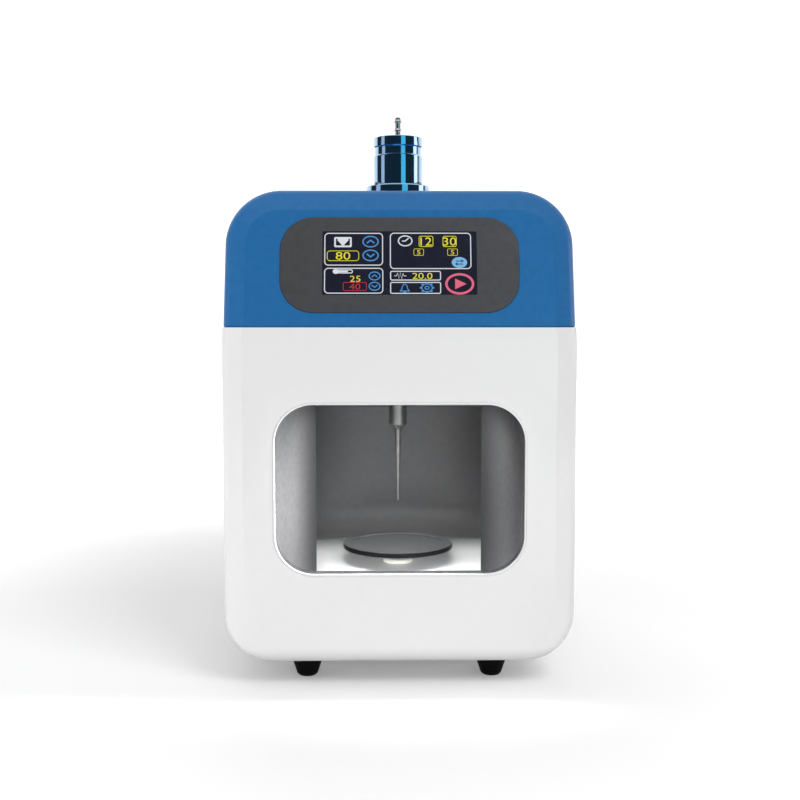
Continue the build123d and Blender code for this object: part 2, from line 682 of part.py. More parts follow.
# Transducer: can with a waist groove, collar that clamps it, air fitting on its lid
COLLAR_FIT = 0.05
can_inner = CAN_RADIUS - CAN_WALL
fitting_base_z = CAN_TOP_Z
with BuildPart() as transducer_can:
    with BuildSketch(across(AXIS_Y)):
        with BuildLine():
            Polyline((can_inner, CAN_BASE_Z), (CAN_RADIUS, CAN_BASE_Z), (CAN_RADIUS, GROOVE_LOW_Z),
                     (CAN_RADIUS - GROOVE_DEEP, GROOVE_LOW_Z + GROOVE_DEEP),
                     (CAN_RADIUS - GROOVE_DEEP, GROOVE_HIGH_Z - GROOVE_DEEP), (CAN_RADIUS, GROOVE_HIGH_Z),
                     (CAN_RADIUS, CAN_TOP_Z), (FITTING_RADIUS, CAN_TOP_Z),
                     (FITTING_RADIUS, CAN_TOP_Z - 2 * CAN_WALL), (can_inner, CAN_TOP_Z - 2 * CAN_WALL),
                     close=True)
        make_face()
    revolve(axis=Axis((0, AXIS_Y, 0), (0, 0, 1)))
    can_edge = transducer_can.edges().filter_by(GeomType.CIRCLE).group_by(Axis.Z)[-1].sort_by(SortBy.RADIUS)[-1]
    fillet(can_edge, 0.8)
transducer_can.part.label = "transducer_can"
export_step(transducer_can.part, "parts/transducer_can.step")

with BuildPart() as transducer_collar:
    with BuildSketch(across(AXIS_Y)):
        with BuildLine():
            Polyline((CAN_RADIUS + COLLAR_FIT, TOP_Z), (COLLAR_RADIUS, TOP_Z),
                     (COLLAR_RADIUS, COLLAR_TOP_Z - 0.8), (COLLAR_RADIUS - 0.8, COLLAR_TOP_Z),
                     (CAN_RADIUS + COLLAR_FIT, COLLAR_TOP_Z), close=True)
        make_face()
    revolve(axis=Axis((0, AXIS_Y, 0), (0, 0, 1)))
    with BuildSketch(Plane.XY.offset(COLLAR_TOP_Z)):
        with Locations(*collar_screw_places):
            Circle(COLLAR_SCREW_RADIUS + 0.1)
    extrude(amount=-(COLLAR_TOP_Z - TOP_Z), mode=Mode.SUBTRACT)
transducer_collar.part.label = "transducer_collar"
export_step(transducer_collar.part, "parts/transducer_collar.step")

BRIDGE_SHEET = 2.0
BRIDGE_HALF = 40.0
BRIDGE_FOOT = 12.0
BRIDGE_DEEP = 64.0
bridge_top_z = TOP_Z - WALL
bridge_foot_z = CEILING_Z + SHEET
collar_screw = turned([
    (0, bridge_top_z - BRIDGE_SHEET - 3.0),
    (COLLAR_SCREW_RADIUS, bridge_top_z - BRIDGE_SHEET - 3.0),
    (COLLAR_SCREW_RADIUS, COLLAR_TOP_Z),
    (COLLAR_SCREW_HEAD, COLLAR_TOP_Z),
    (COLLAR_SCREW_HEAD, COLLAR_TOP_Z + 1.2),
    (COLLAR_SCREW_HEAD / 2, COLLAR_TOP_Z + 1.2),
    (COLLAR_SCREW_HEAD / 2, COLLAR_TOP_Z + 0.3),
    (0, COLLAR_TOP_Z + 0.3),
], 0, 0)
collar_screws = pattern([(x, y, 0) for x, y in collar_screw_places], collar_screw.part)
collar_screws.part.label = "collar_screws"
export_step(collar_screws.part, "parts/collar_screws.step")

with BuildPart() as transducer_bridge:
    with BuildSketch(across(AXIS_Y - BRIDGE_DEEP / 2)):
        with BuildLine():
            Polyline((-BRIDGE_HALF - BRIDGE_FOOT, bridge_foot_z), (-BRIDGE_HALF, bridge_foot_z),
                     (-BRIDGE_HALF, bridge_top_z - BRIDGE_SHEET), (BRIDGE_HALF, bridge_top_z - BRIDGE_SHEET),
                     (BRIDGE_HALF, bridge_foot_z), (BRIDGE_HALF + BRIDGE_FOOT, bridge_foot_z))
            offset(amount=BRIDGE_SHEET, side=Side.LEFT)
        make_face()
    extrude(amount=-BRIDGE_DEEP)
    with BuildSketch(Plane.XY.offset(bridge_top_z + 1)):
        with Locations((0, AXIS_Y)):
            Circle(CAN_RADIUS + CAN_GAP)
        with Locations(*collar_screw_places):
            Circle(COLLAR_SCREW_RADIUS + 0.05)
    extrude(amount=-(BRIDGE_SHEET + 2), mode=Mode.SUBTRACT)
transducer_bridge.part.label = "transducer_bridge"
export_step(transducer_bridge.part, "parts/transducer_bridge.step")

barb_gap = (FITTING_TOP_Z - fitting_base_z - 2.0) / 2
fitting_profile = [(FITTING_BORE, fitting_base_z - 2 * CAN_WALL), (FITTING_RADIUS, fitting_base_z - 2 * CAN_WALL),
                   (FITTING_RADIUS, fitting_base_z + 1.0)]
for barb in range(2):
    barb_z = fitting_base_z + 4.4 + barb * barb_gap
    fitting_profile += [(FITTING_RADIUS, barb_z), (BARB_RADIUS, barb_z), (BARB_RADIUS, barb_z + 0.8),
                        (FITTING_RADIUS, barb_z + 2.4)]
fitting_profile += [(FITTING_RADIUS, FITTING_TOP_Z), (FITTING_BORE, FITTING_TOP_Z)]
air_fitting = turned(fitting_profile)
air_fitting.part.label = "air_fitting"
export_step(air_fitting.part, "parts/air_fitting.step")

# Stack inside the can, clamped by its bolt, and the horn screwed to it
node_low_z = CAN_BASE_Z - NODE_FLANGE
front_top_z = CAN_BASE_Z + FRONT_MASS_LENGTH - NODE_FLANGE
ring_pitch = PIEZO_THICK + ELECTRODE_THICK
stack_top_z = front_top_z + PIEZO_COUNT * ring_pitch
back_top_z = stack_top_z + BACK_MASS_LENGTH
front_mass = turned([
    (0, node_low_z + 8),
    (STUD_RADIUS, node_low_z + 8),
    (STUD_RADIUS, node_low_z),
    (CAN_RADIUS, node_low_z),
    (CAN_RADIUS, CAN_BASE_Z),
    (PIEZO_RADIUS + 1.5, CAN_BASE_Z),
    (PIEZO_RADIUS, front_top_z),
    (STACK_BOLT_RADIUS, front_top_z),
    (STACK_BOLT_RADIUS, front_top_z - 14),
    (0, front_top_z - 14),
])
front_mass.part.label = "front_mass"
export_step(front_mass.part, "parts/front_mass.step")

PIEZO_BORE_RADIUS = 5.0
piezo_ring = turned([
    (PIEZO_BORE_RADIUS, front_top_z + ELECTRODE_THICK),
    (PIEZO_RADIUS, front_top_z + ELECTRODE_THICK),
    (PIEZO_RADIUS, front_top_z + ring_pitch),
    (PIEZO_BORE_RADIUS, front_top_z + ring_pitch),
])
piezo_rings = pattern([(0, 0, k * ring_pitch) for k in range(PIEZO_COUNT)], piezo_ring.part)
piezo_rings.part.label = "piezo_rings"
export_step(piezo_rings.part, "parts/piezo_rings.step")

with BuildPart() as electrode:
    with BuildSketch(Plane.XY.offset(front_top_z)):
        with Locations((0, AXIS_Y)):
            Circle(PIEZO_RADIUS)
        with Locations((PIEZO_RADIUS, AXIS_Y)):
            Rectangle(3.0, 4.0)
        with Locations((0, AXIS_Y)):
            Circle(PIEZO_BORE_RADIUS, mode=Mode.SUBTRACT)
    extrude(amount=ELECTRODE_THICK)
electrodes = pattern([(0, 0, k * ring_pitch) for k in range(PIEZO_COUNT)], electrode.part)
electrodes.part.label = "electrodes"
export_step(electrodes.part, "parts/electrodes.step")

back_mass = turned([
    (STACK_BOLT_RADIUS, stack_top_z),
    (PIEZO_RADIUS, stack_top_z),
    (PIEZO_RADIUS, back_top_z - 1),
    (PIEZO_RADIUS - 1, back_top_z),
    (STACK_BOLT_RADIUS, back_top_z),
])
back_mass.part.label = "back_mass"
export_step(back_mass.part, "parts/back_mass.step")

stack_bolt = turned([
    (0, front_top_z - 13),
    (STACK_BOLT_RADIUS, front_top_z - 13),
    (STACK_BOLT_RADIUS, back_top_z),
    (STACK_BOLT_RADIUS + 2.5, back_top_z),
    (STACK_BOLT_RADIUS + 2.5, back_top_z + 5),
    (2.5, back_top_z + 5),
    (2.5, back_top_z + 2),
    (0, back_top_z + 2),
])
stack_bolt.part.label = "stack_bolt"
export_step(stack_bolt.part, "parts/stack_bolt.step")

horn_stud = turned([
    (0, node_low_z - 8),
    (STUD_RADIUS, node_low_z - 8),
    (STUD_RADIUS, node_low_z + 8),
    (0, node_low_z + 8),
])
horn_stud.part.label = "horn_stud"
export_step(horn_stud.part, "parts/horn_stud.step")

TIP_STUD_RADIUS = 3.0
TIP_STUD = 8.0
with BuildPart() as horn:
    with BuildSketch(across(AXIS_Y)):
        with BuildLine():
            flank = Spline((HORN_TOP_RADIUS, HORN_WAIST_Z), (HORN_NECK_RADIUS, HORN_NECK_Z),
                           tangents=[(0, -1), (0, -1)])
            Polyline(flank @ 1, (HORN_NECK_RADIUS, TIP_JOINT_Z), (TIP_STUD_RADIUS, TIP_JOINT_Z),
                     (TIP_STUD_RADIUS, TIP_JOINT_Z + TIP_STUD), (0, TIP_JOINT_Z + TIP_STUD),
                     (0, node_low_z - 8), (STUD_RADIUS, node_low_z - 8), (STUD_RADIUS, node_low_z),
                     (HORN_TOP_RADIUS, node_low_z), flank @ 0)
        make_face()
    revolve(axis=Axis((0, AXIS_Y, 0), (0, 0, 1)))
horn.part.label = "horn"
export_step(horn.part, "parts/horn.step")

with BuildPart() as probe_tip:
    with BuildSketch(across(AXIS_Y)):
        with BuildLine():
            Polyline((0, TIP_END_Z), (TIP_END_RADIUS - 0.3, TIP_END_Z), (TIP_END_RADIUS, TIP_END_Z + 0.3),
                     (TIP_RADIUS, TIP_JOINT_Z - TIP_CONE), (HORN_NECK_RADIUS, TIP_JOINT_Z),
                     (TIP_STUD_RADIUS, TIP_JOINT_Z), (TIP_STUD_RADIUS, TIP_JOINT_Z + TIP_STUD),
                     (0, TIP_JOINT_Z + TIP_STUD), close=True)
        make_face()
    revolve(axis=Axis((0, AXIS_Y, 0), (0, 0, 1)))
probe_tip.part.label = "probe_tip"
export_step(probe_tip.part, "parts/probe_tip.step")

# Chassis plate behind the chamber, generator board on standoffs with its parts
CHASSIS_TOP_Z = SEAM_Z - 14.0
CHASSIS_FLANGE = 10.0
with BuildPart() as chassis_plate:
    with BuildSketch(Plane.YZ.offset(-BASE_HALF)):
        with BuildLine():
            Polyline((CHASSIS_Y + CHASSIS_FLANGE, PLATE_TOP_Z), (CHASSIS_Y, PLATE_TOP_Z), (CHASSIS_Y, CHASSIS_TOP_Z))
            offset(amount=SHEET, side=Side.RIGHT)
        make_face()
    extrude(amount=2 * BASE_HALF)
chassis_plate.part.label = "chassis_plate"
export_step(chassis_plate.part, "parts/chassis_plate.step")

BOARD_X = 38.0
BOARD_Z = 165.0
BOARD_HALF_X = 32.0
BOARD_HALF_Z = 40.0
plate_back_y = CHASSIS_Y + SHEET
board_y = plate_back_y + STANDOFF
board_back_y = board_y + BOARD_THICK
standoff_places = [(BOARD_X + x, BOARD_Z + z) for x in (-BOARD_HALF_X + 5, BOARD_HALF_X - 5)
                   for z in (-BOARD_HALF_Z + 5, BOARD_HALF_Z - 5)]
with BuildPart() as generator_board:
    with BuildSketch(across(board_y)):
        with Locations((BOARD_X, BOARD_Z)):
            RectangleRounded(2 * BOARD_HALF_X, 2 * BOARD_HALF_Z, 2.0)
    extrude(amount=-BOARD_THICK)
generator_board.part.label = "generator_board"
export_step(generator_board.part, "parts/generator_board.step")

with BuildPart() as standoffs:
    with BuildSketch(across(plate_back_y)):
        with Locations(*standoff_places):
            RegularPolygon(3.2, 6)
    extrude(amount=-STANDOFF)
standoffs.part.label = "standoffs"
export_step(standoffs.part, "parts/standoffs.step")

FIN_COUNT = 7
FIN_THICK = 1.4
FIN_REACH = 14.0
SINK_FOOT = 4.0  # thickness of the plate that carries the fins
SINK_HALF_X = 14.0
SINK_HALF_Z = 30.0
SINK_X = BOARD_X - 16.0
with BuildPart() as heat_sink:
    with BuildSketch(across(board_back_y)):
        with Locations((SINK_X, BOARD_Z)):
            Rectangle(2 * SINK_HALF_X, 2 * SINK_HALF_Z)
    extrude(amount=-SINK_FOOT)
    with BuildSketch(across(board_back_y + SINK_FOOT)):
        with Locations((SINK_X, BOARD_Z)):
            with GridLocations((2 * SINK_HALF_X - FIN_THICK) / (FIN_COUNT - 1), 1, FIN_COUNT, 1):
                Rectangle(FIN_THICK, 2 * SINK_HALF_Z)
    extrude(amount=-FIN_REACH)
heat_sink.part.label = "heat_sink"
export_step(heat_sink.part, "parts/heat_sink.step")

TRANSFORMER_PLACE = (BOARD_X + 14.0, BOARD_Z + 22.0)
with BuildPart() as transformer:
    with BuildSketch(across(board_back_y)):
        with Locations(TRANSFORMER_PLACE):
            RectangleRounded(24, 22, 3)
    extrude(amount=-12.0)
    with BuildSketch(across(board_back_y + 3.0)):
        with Locations(TRANSFORMER_PLACE):
            Rectangle(28, 12)
    extrude(amount=-12.0)
transformer.part.label = "transformer"
export_step(transformer.part, "parts/transformer.step")

COIL_PLACE = (BOARD_X + 14.0, BOARD_Z - 3.0)
with BuildPart() as matching_coil:
    with BuildSketch(across(board_back_y)):
        with Locations(COIL_PLACE):
            Circle(10.5)
            Circle(4.0, mode=Mode.SUBTRACT)
    extrude(amount=-9.0)
    fillet(matching_coil.edges().filter_by(GeomType.CIRCLE).group_by(Axis.Y)[-1], 2.0)
matching_coil.part.label = "matching_coil"
export_step(matching_coil.part, "parts/matching_coil.step")

capacitor_places = [(BOARD_X + 7.0 + 14.0 * k, BOARD_Z - 26.0) for k in range(2)]
with BuildPart() as capacitors:
    with BuildSketch(across(board_back_y)):
        with Locations(*capacitor_places):
            Circle(6.2)
    extrude(amount=-14.0)
capacitors.part.label = "capacitors"
export_step(capacitors.part, "parts/capacitors.step")

SUPPLY_PLACE = (-BASE_HALF + 34.0, AXIS_Y - 10.0)
with BuildPart() as power_supply:
    with BuildSketch(Plane.XY.offset(PLATE_TOP_Z)):
        with Locations(SUPPLY_PLACE):
            RectangleRounded(SUPPLY_SIZE[0], SUPPLY_SIZE[1], 1.5)
    extrude(amount=SUPPLY_SIZE[2])
    with BuildSketch(Plane.XY.offset(PLATE_TOP_Z + SUPPLY_SIZE[2])):
        with Locations(SUPPLY_PLACE):
            with GridLocations(7.0, 6.0, 5, 12):
                Circle(1.6)
    extrude(amount=-2.0, mode=Mode.SUBTRACT)
power_supply.part.label = "power_supply"
export_step(power_supply.part, "parts/power_supply.step")

# Rear panel with louvre slots and cut-outs
PANEL_HALF = HEAD_HALF - WALL - PANEL_GAP
PANEL_LOW_Z = BODY_BOTTOM_Z + WALL + PANEL_GAP
PANEL_HIGH_Z = TOP_Z - WALL - PANEL_GAP
SLOT_COUNT = 9
SLOT_PITCH = 7.0
SLOT_LONG = 70.0
SLOT_TALL = 3.0
FAN_SCREW_HALF = FAN_HALF - 5.0
fan_screw_places = [(FAN_X + x, FAN_Z + z) for x in (-FAN_SCREW_HALF, FAN_SCREW_HALF)
                    for z in (-FAN_SCREW_HALF, FAN_SCREW_HALF)]
MODULE_LOW_Z = INLET_Z - INLET_HALF_Z
MODULE_HIGH_Z = INLET_Z + INLET_HALF_Z + DRAWER_TALL + 3.0
with BuildPart() as rear_panel:
    with BuildSketch(across(REAR_Y)):
        add(front_outline(PANEL_HALF, PANEL_LOW_Z, PANEL_HIGH_Z, LOW_RADIUS - WALL, HIGH_RADIUS - WALL))
        with Locations((FAN_X, FAN_Z)):
            Circle(FAN_BORE_RADIUS, mode=Mode.SUBTRACT)
        with Locations(*fan_screw_places, *rear_screw_places):
            Circle(REAR_SCREW_RADIUS + 0.2, mode=Mode.SUBTRACT)
        with Locations((0, TOP_Z - 48)):
            with GridLocations(1, SLOT_PITCH, 1, SLOT_COUNT):
                SlotOverall(SLOT_LONG, SLOT_TALL, mode=Mode.SUBTRACT)
        with Locations((INLET_X, (MODULE_LOW_Z + MODULE_HIGH_Z) / 2)):
            Rectangle(2 * INLET_HALF_X + 0.4, MODULE_HIGH_Z - MODULE_LOW_Z + 0.4, mode=Mode.SUBTRACT)
        with Locations((ROCKER_X, ROCKER_Z)):
            Rectangle(2 * ROCKER_HALF_X + 4.4, 2 * ROCKER_HALF_Z + 4.4, mode=Mode.SUBTRACT)
        with Locations((SOCKET_X, SOCKET_Z)):
            Circle(SOCKET_RADIUS - 2 + 0.1, mode=Mode.SUBTRACT)
    extrude(amount=PANEL_THICK)
rear_panel.part.label = "rear_panel"
export_step(rear_panel.part, "parts/rear_panel.step")

with BuildPart() as rear_screws:
    with BuildSketch(across(REAR_Y)):
        with Locations(*rear_screw_places):
            Circle(3.0)
    extrude(amount=-1.8)
    fillet(rear_screws.edges().group_by(Axis.Y)[-1], 0.7)
    with BuildSketch(across(REAR_Y)):
        with Locations(*rear_screw_places):
            Circle(REAR_SCREW_RADIUS)
    extrude(amount=PANEL_THICK + BOSS_LENGTH - 4)
rear_screws.part.label = "rear_screws"
export_step(rear_screws.part, "parts/rear_screws.step")

# Fan: frame with its hub spider, rotor on a pin in the hub, ring guard outside
FAN_PIN_RADIUS = 1.5
fan_front_y = panel_in_y - FAN_THICK
with BuildPart() as fan_frame:
    with BuildSketch(across(panel_in_y)):
        with Locations((FAN_X, FAN_Z)):
            RectangleRounded(2 * FAN_HALF, 2 * FAN_HALF, 4.0)
            Circle(FAN_BORE_RADIUS, mode=Mode.SUBTRACT)
        with Locations(*fan_screw_places):
            Circle(REAR_SCREW_RADIUS + 0.05, mode=Mode.SUBTRACT)
    extrude(amount=FAN_THICK)
    with BuildSketch(across(fan_front_y + 2.5)):
        with Locations((FAN_X, FAN_Z)):
            Circle(FAN_HUB_RADIUS - 1)
            with PolarLocations(0, 3, start_angle=30):
                with Locations(((FAN_BORE_RADIUS + 1) / 2, 0)):
                    Rectangle(FAN_BORE_RADIUS + 1, 4.0)
            Circle(FAN_PIN_RADIUS + 0.05, mode=Mode.SUBTRACT)
    extrude(amount=2.5)
fan_frame.part.label = "fan_frame"
export_step(fan_frame.part, "parts/fan_frame.step")

rotor_low_y = fan_front_y + 3.3
rotor_high_y = panel_in_y - 1.5
with BuildPart() as fan_rotor:
    with BuildSketch(across(rotor_high_y)):
        with Locations((FAN_X, FAN_Z)):
            Circle(FAN_HUB_RADIUS)
    extrude(amount=rotor_high_y - rotor_low_y)
    with BuildSketch(across(rotor_low_y)):
        with Locations((FAN_X, FAN_Z)):
            Circle(FAN_PIN_RADIUS)
    extrude(amount=rotor_low_y - fan_front_y)
    for blade in range(FAN_BLADES):
        turn = 360 / FAN_BLADES * blade
        blade_plane = Plane(
            origin=(FAN_X, (rotor_low_y + rotor_high_y) / 2, FAN_Z),
            x_dir=(0, 1, 0),
            z_dir=(cos(radians(turn)), 0, sin(radians(turn))),
        ).offset(FAN_HUB_RADIUS - 0.6)
        with BuildSketch(blade_plane):
            Rectangle(14.0, 1.3, rotation=38)
        extrude(amount=FAN_SWEEP_RADIUS - FAN_HUB_RADIUS + 0.6)
fan_rotor.part.label = "fan_rotor"
export_step(fan_rotor.part, "parts/fan_rotor.step")

GUARD_RINGS = 4
GUARD_BAR = 1.4
with BuildPart() as fan_guard:
    with BuildSketch(across(REAR_Y)):
        with Locations((FAN_X, FAN_Z)):
            for ring in range(GUARD_RINGS):
                ring_radius = FAN_BORE_RADIUS - ring * FAN_BORE_RADIUS / GUARD_RINGS
                Circle(ring_radius + GUARD_BAR / 2)
                Circle(ring_radius - GUARD_BAR / 2, mode=Mode.SUBTRACT)
            with PolarLocations(0, 4, start_angle=45):
                with Locations((FAN_SCREW_HALF * 2 ** 0.5 / 2, 0)):
                    Rectangle(FAN_SCREW_HALF * 2 ** 0.5, 2.0)
        with Locations(*fan_screw_places):
            Circle(3.4)
        with Locations(*fan_screw_places):
            Circle(REAR_SCREW_RADIUS + 0.1, mode=Mode.SUBTRACT)
    extrude(amount=-GUARD_BAR)
fan_guard.part.label = "fan_guard"
export_step(fan_guard.part, "parts/fan_guard.step")

with BuildPart() as fan_screws:
    with BuildSketch(across(REAR_Y + GUARD_BAR)):
        with Locations(*fan_screw_places):
            Circle(2.8)
    extrude(amount=-(GUARD_PROUD - GUARD_BAR))
    with BuildSketch(across(REAR_Y + GUARD_BAR)):
        with Locations(*fan_screw_places):
            Circle(REAR_SCREW_RADIUS)
    extrude(amount=GUARD_BAR + PANEL_THICK + FAN_THICK - 2)
fan_screws.part.label = "fan_screws"
export_step(fan_screws.part, "parts/fan_screws.step")

# Mains inlet module with a fuse drawer over the inlet
INLET_DEEP = 22.0
INLET_FLANGE = 3.0
INLET_FLANGE_THICK = 1.6
INLET_POCKET = 16.0
DRAWER_GAP = 0.3
DRAWER_LONG = 18.0
PIN_LONG = 9.0
drawer_z = INLET_Z + INLET_HALF_Z + DRAWER_TALL / 2
drawer_half_x = INLET_HALF_X - 3.0
with BuildPart() as power_inlet:
    with BuildSketch(across(panel_in_y)):
        with Locations((INLET_X, (MODULE_LOW_Z + MODULE_HIGH_Z) / 2)):
            Rectangle(2 * INLET_HALF_X, MODULE_HIGH_Z - MODULE_LOW_Z)
    extrude(amount=INLET_DEEP)
    with BuildSketch(across(REAR_Y)):
        with Locations((INLET_X, (MODULE_LOW_Z + MODULE_HIGH_Z) / 2)):
            Rectangle(2 * INLET_HALF_X, MODULE_HIGH_Z - MODULE_LOW_Z)
    extrude(amount=PANEL_THICK)
    with BuildSketch(across(REAR_Y)):
        with Locations((INLET_X, (MODULE_LOW_Z + MODULE_HIGH_Z) / 2)):
            RectangleRounded(2 * (INLET_HALF_X + INLET_FLANGE), MODULE_HIGH_Z - MODULE_LOW_Z + 2 * INLET_FLANGE, 2)
    extrude(amount=-INLET_FLANGE_THICK)
    with BuildSketch(across(REAR_Y + INLET_FLANGE_THICK)) as inlet_mouth:
        with Locations((INLET_X, INLET_Z - 1)):
            Rectangle(2 * INLET_HALF_X - 5, 2 * INLET_HALF_Z - 6)
        chamfer(inlet_mouth.vertices().group_by(Axis.Y)[-1], 4.0)
    extrude(amount=INLET_POCKET, mode=Mode.SUBTRACT)
    with BuildSketch(across(REAR_Y + INLET_FLANGE_THICK - INLET_POCKET)):
        with Locations((INLET_X - 7, INLET_Z - 3), (INLET_X, INLET_Z + 1.5), (INLET_X + 7, INLET_Z - 3)):
            Rectangle(2.0, 4.0)
    extrude(amount=-PIN_LONG)
    with BuildSketch(across(REAR_Y + INLET_FLANGE_THICK)):
        with Locations((INLET_X, drawer_z)):
            Rectangle(2 * (drawer_half_x + DRAWER_GAP), DRAWER_TALL + 2 * DRAWER_GAP)
    extrude(amount=DRAWER_LONG + 0.5, mode=Mode.SUBTRACT)
power_inlet.part.label = "power_inlet"
export_step(power_inlet.part, "parts/power_inlet.step")

with BuildPart() as fuse_drawer:
    with BuildSketch(across(REAR_Y + INLET_FLANGE_THICK)):
        with Locations((INLET_X, drawer_z)):
            Rectangle(2 * drawer_half_x, DRAWER_TALL)
    extrude(amount=DRAWER_LONG)
    with BuildSketch(across(REAR_Y + INLET_FLANGE_THICK)):
        with Locations((INLET_X, drawer_z + DRAWER_TALL / 2)):
            Rectangle(8.0, 3.0)
    extrude(amount=1.6, mode=Mode.SUBTRACT)
    with BuildSketch(Plane.XY.offset(drawer_z + DRAWER_TALL / 2)):
        with Locations((INLET_X, REAR_Y + INLET_FLANGE_THICK - DRAWER_LONG / 2 - 1)):
            Rectangle(2 * drawer_half_x - 3, DRAWER_LONG - 6)
    extrude(amount=-(DRAWER_TALL - 1.5), mode=Mode.SUBTRACT)
fuse_drawer.part.label = "fuse_drawer"
export_step(fuse_drawer.part, "parts/fuse_drawer.step")

# Power rocker in its frame: drawn with its lower half pressed, it tips about the pivot
ROCKER_GAP = 0.35
ROCKER_SWELL = 1.6
pivot_y = REAR_Y - 1.0
with BuildPart() as rocker_frame:
    with BuildSketch(across(panel_in_y)):
        with Locations((ROCKER_X, ROCKER_Z)):
            Rectangle(2 * ROCKER_HALF_X + 4, 2 * ROCKER_HALF_Z + 4)
    extrude(amount=14.0)
    with BuildSketch(across(REAR_Y)):
        with Locations((ROCKER_X, ROCKER_Z)):
            Rectangle(2 * ROCKER_HALF_X + 4, 2 * ROCKER_HALF_Z + 4)
    extrude(amount=PANEL_THICK)
    with BuildSketch(across(REAR_Y)):
        with Locations((ROCKER_X, ROCKER_Z)):
            RectangleRounded(2 * ROCKER_HALF_X + 9, 2 * ROCKER_HALF_Z + 9, 1.5)
    extrude(amount=-1.4)
    with BuildSketch(across(REAR_Y + 1.4)):
        with Locations((ROCKER_X, ROCKER_Z)):
            Rectangle(2 * (ROCKER_HALF_X + ROCKER_GAP), 2 * (ROCKER_HALF_Z + ROCKER_GAP))
    extrude(amount=11.0, mode=Mode.SUBTRACT)
    with BuildSketch(Plane.YZ.offset(ROCKER_X - ROCKER_HALF_X - ROCKER_GAP)):
        with Locations((pivot_y, ROCKER_Z)):
            Circle(1.4)
    extrude(amount=2 * (ROCKER_HALF_X + ROCKER_GAP))
rocker_frame.part.label = "rocker_frame"
export_step(rocker_frame.part, "parts/rocker_frame.step")

with BuildPart() as power_rocker:
    with BuildSketch(Plane.YZ.offset(ROCKER_X - ROCKER_HALF_X)):
        with BuildLine():
            Polyline((pivot_y - 3.2, ROCKER_Z - 4.0), (pivot_y + 1.6, ROCKER_Z - ROCKER_HALF_Z + 0.4),
                     (pivot_y + 1.6 + ROCKER_SWELL, ROCKER_Z - ROCKER_HALF_Z + 0.4))
            ThreePointArc((pivot_y + 1.6 + ROCKER_SWELL, ROCKER_Z - ROCKER_HALF_Z + 0.4),
                          (pivot_y + 2.4, ROCKER_Z),
                          (pivot_y + 1.6 + ROCKER_SWELL, ROCKER_Z + ROCKER_HALF_Z - 0.4))
            Polyline((pivot_y + 1.6 + ROCKER_SWELL, ROCKER_Z + ROCKER_HALF_Z - 0.4),
                     (pivot_y + 1.6, ROCKER_Z + ROCKER_HALF_Z - 0.4), (pivot_y - 3.2, ROCKER_Z + 4.0),
                     (pivot_y - 3.2, ROCKER_Z - 4.0))
        make_face()
        with Locations((pivot_y, ROCKER_Z)):
            Circle(1.45, mode=Mode.SUBTRACT)
    extrude(amount=2 * ROCKER_HALF_X)
tipped_rocker = power_rocker.part.rotate(Axis((0, pivot_y, ROCKER_Z), (1, 0, 0)), ROCKER_TILT)
tipped_rocker.label = "power_rocker"
export_step(tipped_rocker, "parts/power_rocker.step")

# Temperature sensor socket
with BuildPart() as sensor_socket:
    with BuildSketch(across(REAR_Y)):
        with Locations((SOCKET_X, SOCKET_Z)):
            RegularPolygon(SOCKET_RADIUS, 6)
    extrude(amount=-2.4)
    with BuildSketch(across(REAR_Y)):
        with Locations((SOCKET_X, SOCKET_Z)):
            Circle(SOCKET_RADIUS - 2)
    extrude(amount=10.0)
    with BuildSketch(across(REAR_Y + 2.4)):
        with Locations((SOCKET_X, SOCKET_Z)):
            Circle(SOCKET_BORE_RADIUS)
    extrude(amount=9.0, mode=Mode.SUBTRACT)
sensor_socket.part.label = "sensor_socket"
export_step(sensor_socket.part, "parts/sensor_socket.step")
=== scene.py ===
import json
from math import atan2, cos, pi, radians, sin

import bpy
import numpy as np
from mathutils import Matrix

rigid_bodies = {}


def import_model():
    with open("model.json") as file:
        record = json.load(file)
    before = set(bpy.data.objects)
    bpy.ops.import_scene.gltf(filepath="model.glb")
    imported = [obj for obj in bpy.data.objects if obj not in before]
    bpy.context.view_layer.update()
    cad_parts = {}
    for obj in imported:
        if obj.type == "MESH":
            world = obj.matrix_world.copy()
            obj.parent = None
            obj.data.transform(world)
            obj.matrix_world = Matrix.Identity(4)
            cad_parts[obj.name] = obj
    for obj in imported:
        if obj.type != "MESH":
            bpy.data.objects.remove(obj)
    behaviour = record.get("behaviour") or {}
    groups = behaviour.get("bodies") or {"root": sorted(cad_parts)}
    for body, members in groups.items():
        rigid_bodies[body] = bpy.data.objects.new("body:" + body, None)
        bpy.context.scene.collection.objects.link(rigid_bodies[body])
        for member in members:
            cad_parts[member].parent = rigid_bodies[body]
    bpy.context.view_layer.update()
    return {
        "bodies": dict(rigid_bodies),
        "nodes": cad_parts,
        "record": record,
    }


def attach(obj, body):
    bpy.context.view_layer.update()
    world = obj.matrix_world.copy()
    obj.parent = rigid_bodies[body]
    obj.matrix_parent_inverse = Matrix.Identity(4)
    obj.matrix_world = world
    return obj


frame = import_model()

scene = bpy.context.scene
nodes = frame["nodes"]

# Sizes in metres, the same values as in the part's source
FRONT_Y = -0.130
CREASE_Z = 0.2147  # the front leans back above this height
LEAN = radians(15.0)
SCREEN_PROUD = 0.0006  # glass of the screen before the leaning face

# Camera at the photograph's place
CAMERA_PLACE = (-0.009, -0.810, 0.2369)
CAMERA_PITCH = 4.6
CAMERA_YAW = 0.76
LENS = 50.0
SENSOR = 36.0

# Shading of the CAD nodes: edges that turn by more than these angles stay crisp
BEVELLED = ("body_shell", "head_cover", "display_bezel", "window_trim")
BEVEL_KEEN = radians(18.0)
PLAIN_KEEN = radians(30.0)
JOIN_DISTANCE = 0.00001

